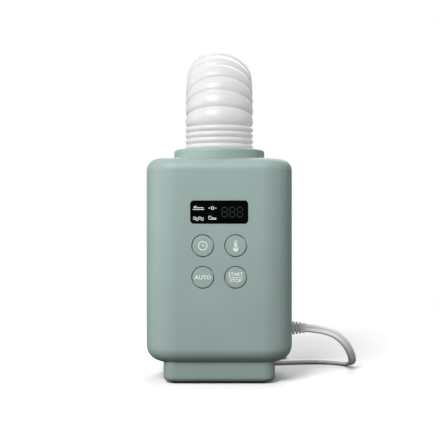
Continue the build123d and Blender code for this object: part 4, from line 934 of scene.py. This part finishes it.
# Intake cover and dust screen
# A slatted cover in the case's colour, hinged on two small pins at its lower edge, over a fine
# woven screen across the inside of the intake.
screen_finish = finish("woven screen", (0.10, 0.11, 0.11), 0.7, mottle=0.1, grain=(900, 0.00002, 0.4))
coat(case_finish, "filter_cover")
soften("filter_cover", edge=0.0003)
screen_low, screen_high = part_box("filter_mesh")
screen_mid = (screen_low + screen_high) / 2
STRAND = 0.0004
STRAND_PITCH = 0.0022
WOVEN_EDGE = 0.006
STRAND_SHORT = 0.004
screen_size = screen_high - screen_low
upright = grown("screen_warp", ribs, {
    "Count": int((screen_size.x - WOVEN_EDGE) / STRAND_PITCH),
    "Pitch": STRAND_PITCH,
    "Step": (1.0, 0.0, 0.0),
    "Size": (STRAND, STRAND, screen_size.z - STRAND_SHORT),
    "Middle": tuple(screen_mid),
    "Material": screen_finish,
})
level = grown("screen_weft", ribs, {
    "Count": int((screen_size.z - WOVEN_EDGE) / STRAND_PITCH),
    "Pitch": STRAND_PITCH,
    "Step": (0.0, 0.0, 1.0),
    "Size": (screen_size.x - STRAND_SHORT, STRAND, STRAND),
    "Middle": tuple(screen_mid),
    "Material": screen_finish,
})
coat(screen_finish, "filter_mesh")
soften("filter_mesh")
for strands in (upright, level):
    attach(strands, "case")

# Screws
# Zinc-plated self-tapping screws: four long ones from behind in the case, and those of the boards,
# the blower housing and the base plate.
screw_finish = finish(
    "zinc screws", (0.58, 0.58, 0.56), 0.34, metallic=1.0, mottle=0.08, grain=(900, 0.000006, 0.25)
)
coat(screw_finish, "base_screws", "board_screws", "scroll_screws")
soften("base_screws", "board_screws", "scroll_screws")


def cross_head_screws():
    """A flat round head with a cross recess and its shank, at each point; the head faces +Y."""
    tree = bpy.data.node_groups.new("cross-head screws", "GeometryNodeTree")
    for label, kind in (
        ("Geometry", "NodeSocketGeometry"), ("Head radius", "NodeSocketFloat"),
        ("Head depth", "NodeSocketFloat"), ("Shank radius", "NodeSocketFloat"),
        ("Shank length", "NodeSocketFloat"), ("Material", "NodeSocketMaterial"),
    ):
        tree.interface.new_socket(label, in_out="INPUT", socket_type=kind)
    tree.interface.new_socket("Geometry", in_out="OUTPUT", socket_type="NodeSocketGeometry")
    graph = Graph(tree)
    start = tree.nodes.new("NodeGroupInput")
    given = {socket.name: Wire(graph, socket) for socket in start.outputs if socket.name}
    radius, depth = given["Head radius"], given["Head depth"]
    head = graph.node("GeometryNodeMeshCylinder", {}, {"Vertices": 32, "Radius": radius, "Depth": depth})
    length, breadth = radius * 1.2, radius * 0.26
    long_slot = graph.node("ShaderNodeCombineXYZ", {}, {"X": length, "Y": breadth, "Z": depth})
    cross_slot = graph.node("ShaderNodeCombineXYZ", {}, {"X": breadth, "Y": length, "Z": depth})
    first_bar = graph.node("GeometryNodeMeshCube", {}, {"Size": long_slot})
    second_bar = graph.node("GeometryNodeMeshCube", {}, {"Size": cross_slot})
    lift = graph.node("ShaderNodeCombineXYZ", {}, {"Z": depth * 0.45})
    first_cut = graph.node("GeometryNodeTransform", {}, {"Geometry": first_bar, "Translation": lift})
    second_cut = graph.node("GeometryNodeTransform", {}, {"Geometry": second_bar, "Translation": lift})
    less = {"operation": "DIFFERENCE"}
    once = graph.node("GeometryNodeMeshBoolean", less, {"Mesh 1": head, "Mesh 2": first_cut})
    cut = graph.node("GeometryNodeMeshBoolean", less, {"Mesh 1": once, "Mesh 2": second_cut})
    shank_sizes = {"Vertices": 20, "Radius": given["Shank radius"], "Depth": given["Shank length"]}
    shank = graph.node("GeometryNodeMeshCylinder", {}, shank_sizes)
    drop = graph.node("ShaderNodeCombineXYZ", {}, {"Z": (given["Shank length"] + depth) / -2})
    hung = graph.node("GeometryNodeTransform", {}, {"Geometry": shank, "Translation": drop})
    both = graph.node("GeometryNodeJoinGeometry")
    joiner = both.socket.node
    for part_of in (hung, cut):
        tree.links.new(part_of.socket, joiner.inputs[0])
    facing_back = (-math.pi / 2, 0, 0)
    places = {"Points": given["Geometry"], "Instance": both, "Rotation": facing_back}
    placed = graph.node("GeometryNodeInstanceOnPoints", {}, places)
    whole = graph.node("GeometryNodeRealizeInstances", {}, {"Geometry": placed})
    coated = {"Geometry": whole, "Material": given["Material"]}
    dressed = graph.node("GeometryNodeSetMaterial", {}, coated)
    end = tree.nodes.new("NodeGroupOutput")
    tree.links.new(dressed.socket, end.inputs[0])
    return tree


HEAD_RADIUS = 0.0030
HEAD_DEPTH = 0.0024
SHANK_RADIUS = 0.0015
screws_low, screws_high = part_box("case_screws")
head_y = screws_high.y - HEAD_DEPTH / 2
head_places = [
    (x, head_y, z)
    for x in (screws_low.x + HEAD_RADIUS, screws_high.x - HEAD_RADIUS)
    for z in (screws_low.z + HEAD_RADIUS, screws_high.z - HEAD_RADIUS)
]
screws = grown("case_screw_set", cross_head_screws(), {
    "Head radius": HEAD_RADIUS, "Head depth": HEAD_DEPTH, "Shank radius": SHANK_RADIUS,
    "Shank length": screws_high.y - screws_low.y - HEAD_DEPTH, "Material": screw_finish,
}, head_places)
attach(screws, "case")
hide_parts("case_screws")

# Inside the case
# The blower, its motor and housing, the heater in its sheet-metal duct, the two circuit boards and
# the small parts on them, fixed with screws to posts in the front case.
board_finish = finish("green board", (0.02, 0.13, 0.06), 0.4, mottle=0.1, grain=(900, 0.000006, 0.2))
part_finish = finish("dark parts", (0.05, 0.055, 0.055), 0.5, mottle=0.15, grain=(900, 0.00001, 0.3))
sheet_finish = finish(
    "aluminised sheet", (0.60, 0.61, 0.62), 0.35, metallic=1.0, mottle=0.06, grain=(500, 0.000008, 0.3)
)
mica_finish = finish("mica", (0.55, 0.50, 0.38), 0.55, mottle=0.2, grain=(400, 0.00002, 0.4))
wire_finish = finish(
    "heater wire", (0.30, 0.28, 0.26), 0.45, metallic=1.0, mottle=0.15, grain=(900, 0.000006, 0.3)
)
fan_finish = finish("black blower", (0.04, 0.042, 0.042), 0.5, mottle=0.1, grain=(900, 0.00001, 0.3))
for material, inner_names in (
    (board_finish, ("control_board", "main_board")),
    (part_finish, ("display_module", "tact_switches", "power_components", "cord_clamp")),
    (sheet_finish, ("heater_duct", "thermostat", "thermal_fuse", "fan_motor", "motor_mount", "motor_shaft")),
    (mica_finish, ("heater_frame",)),
    (wire_finish, ("heater_coils",)),
    (fan_finish, ("scroll_front", "scroll_rear", "impeller", "outlet_duct")),
):
    coat(material, *inner_names)
    soften(*inner_names)
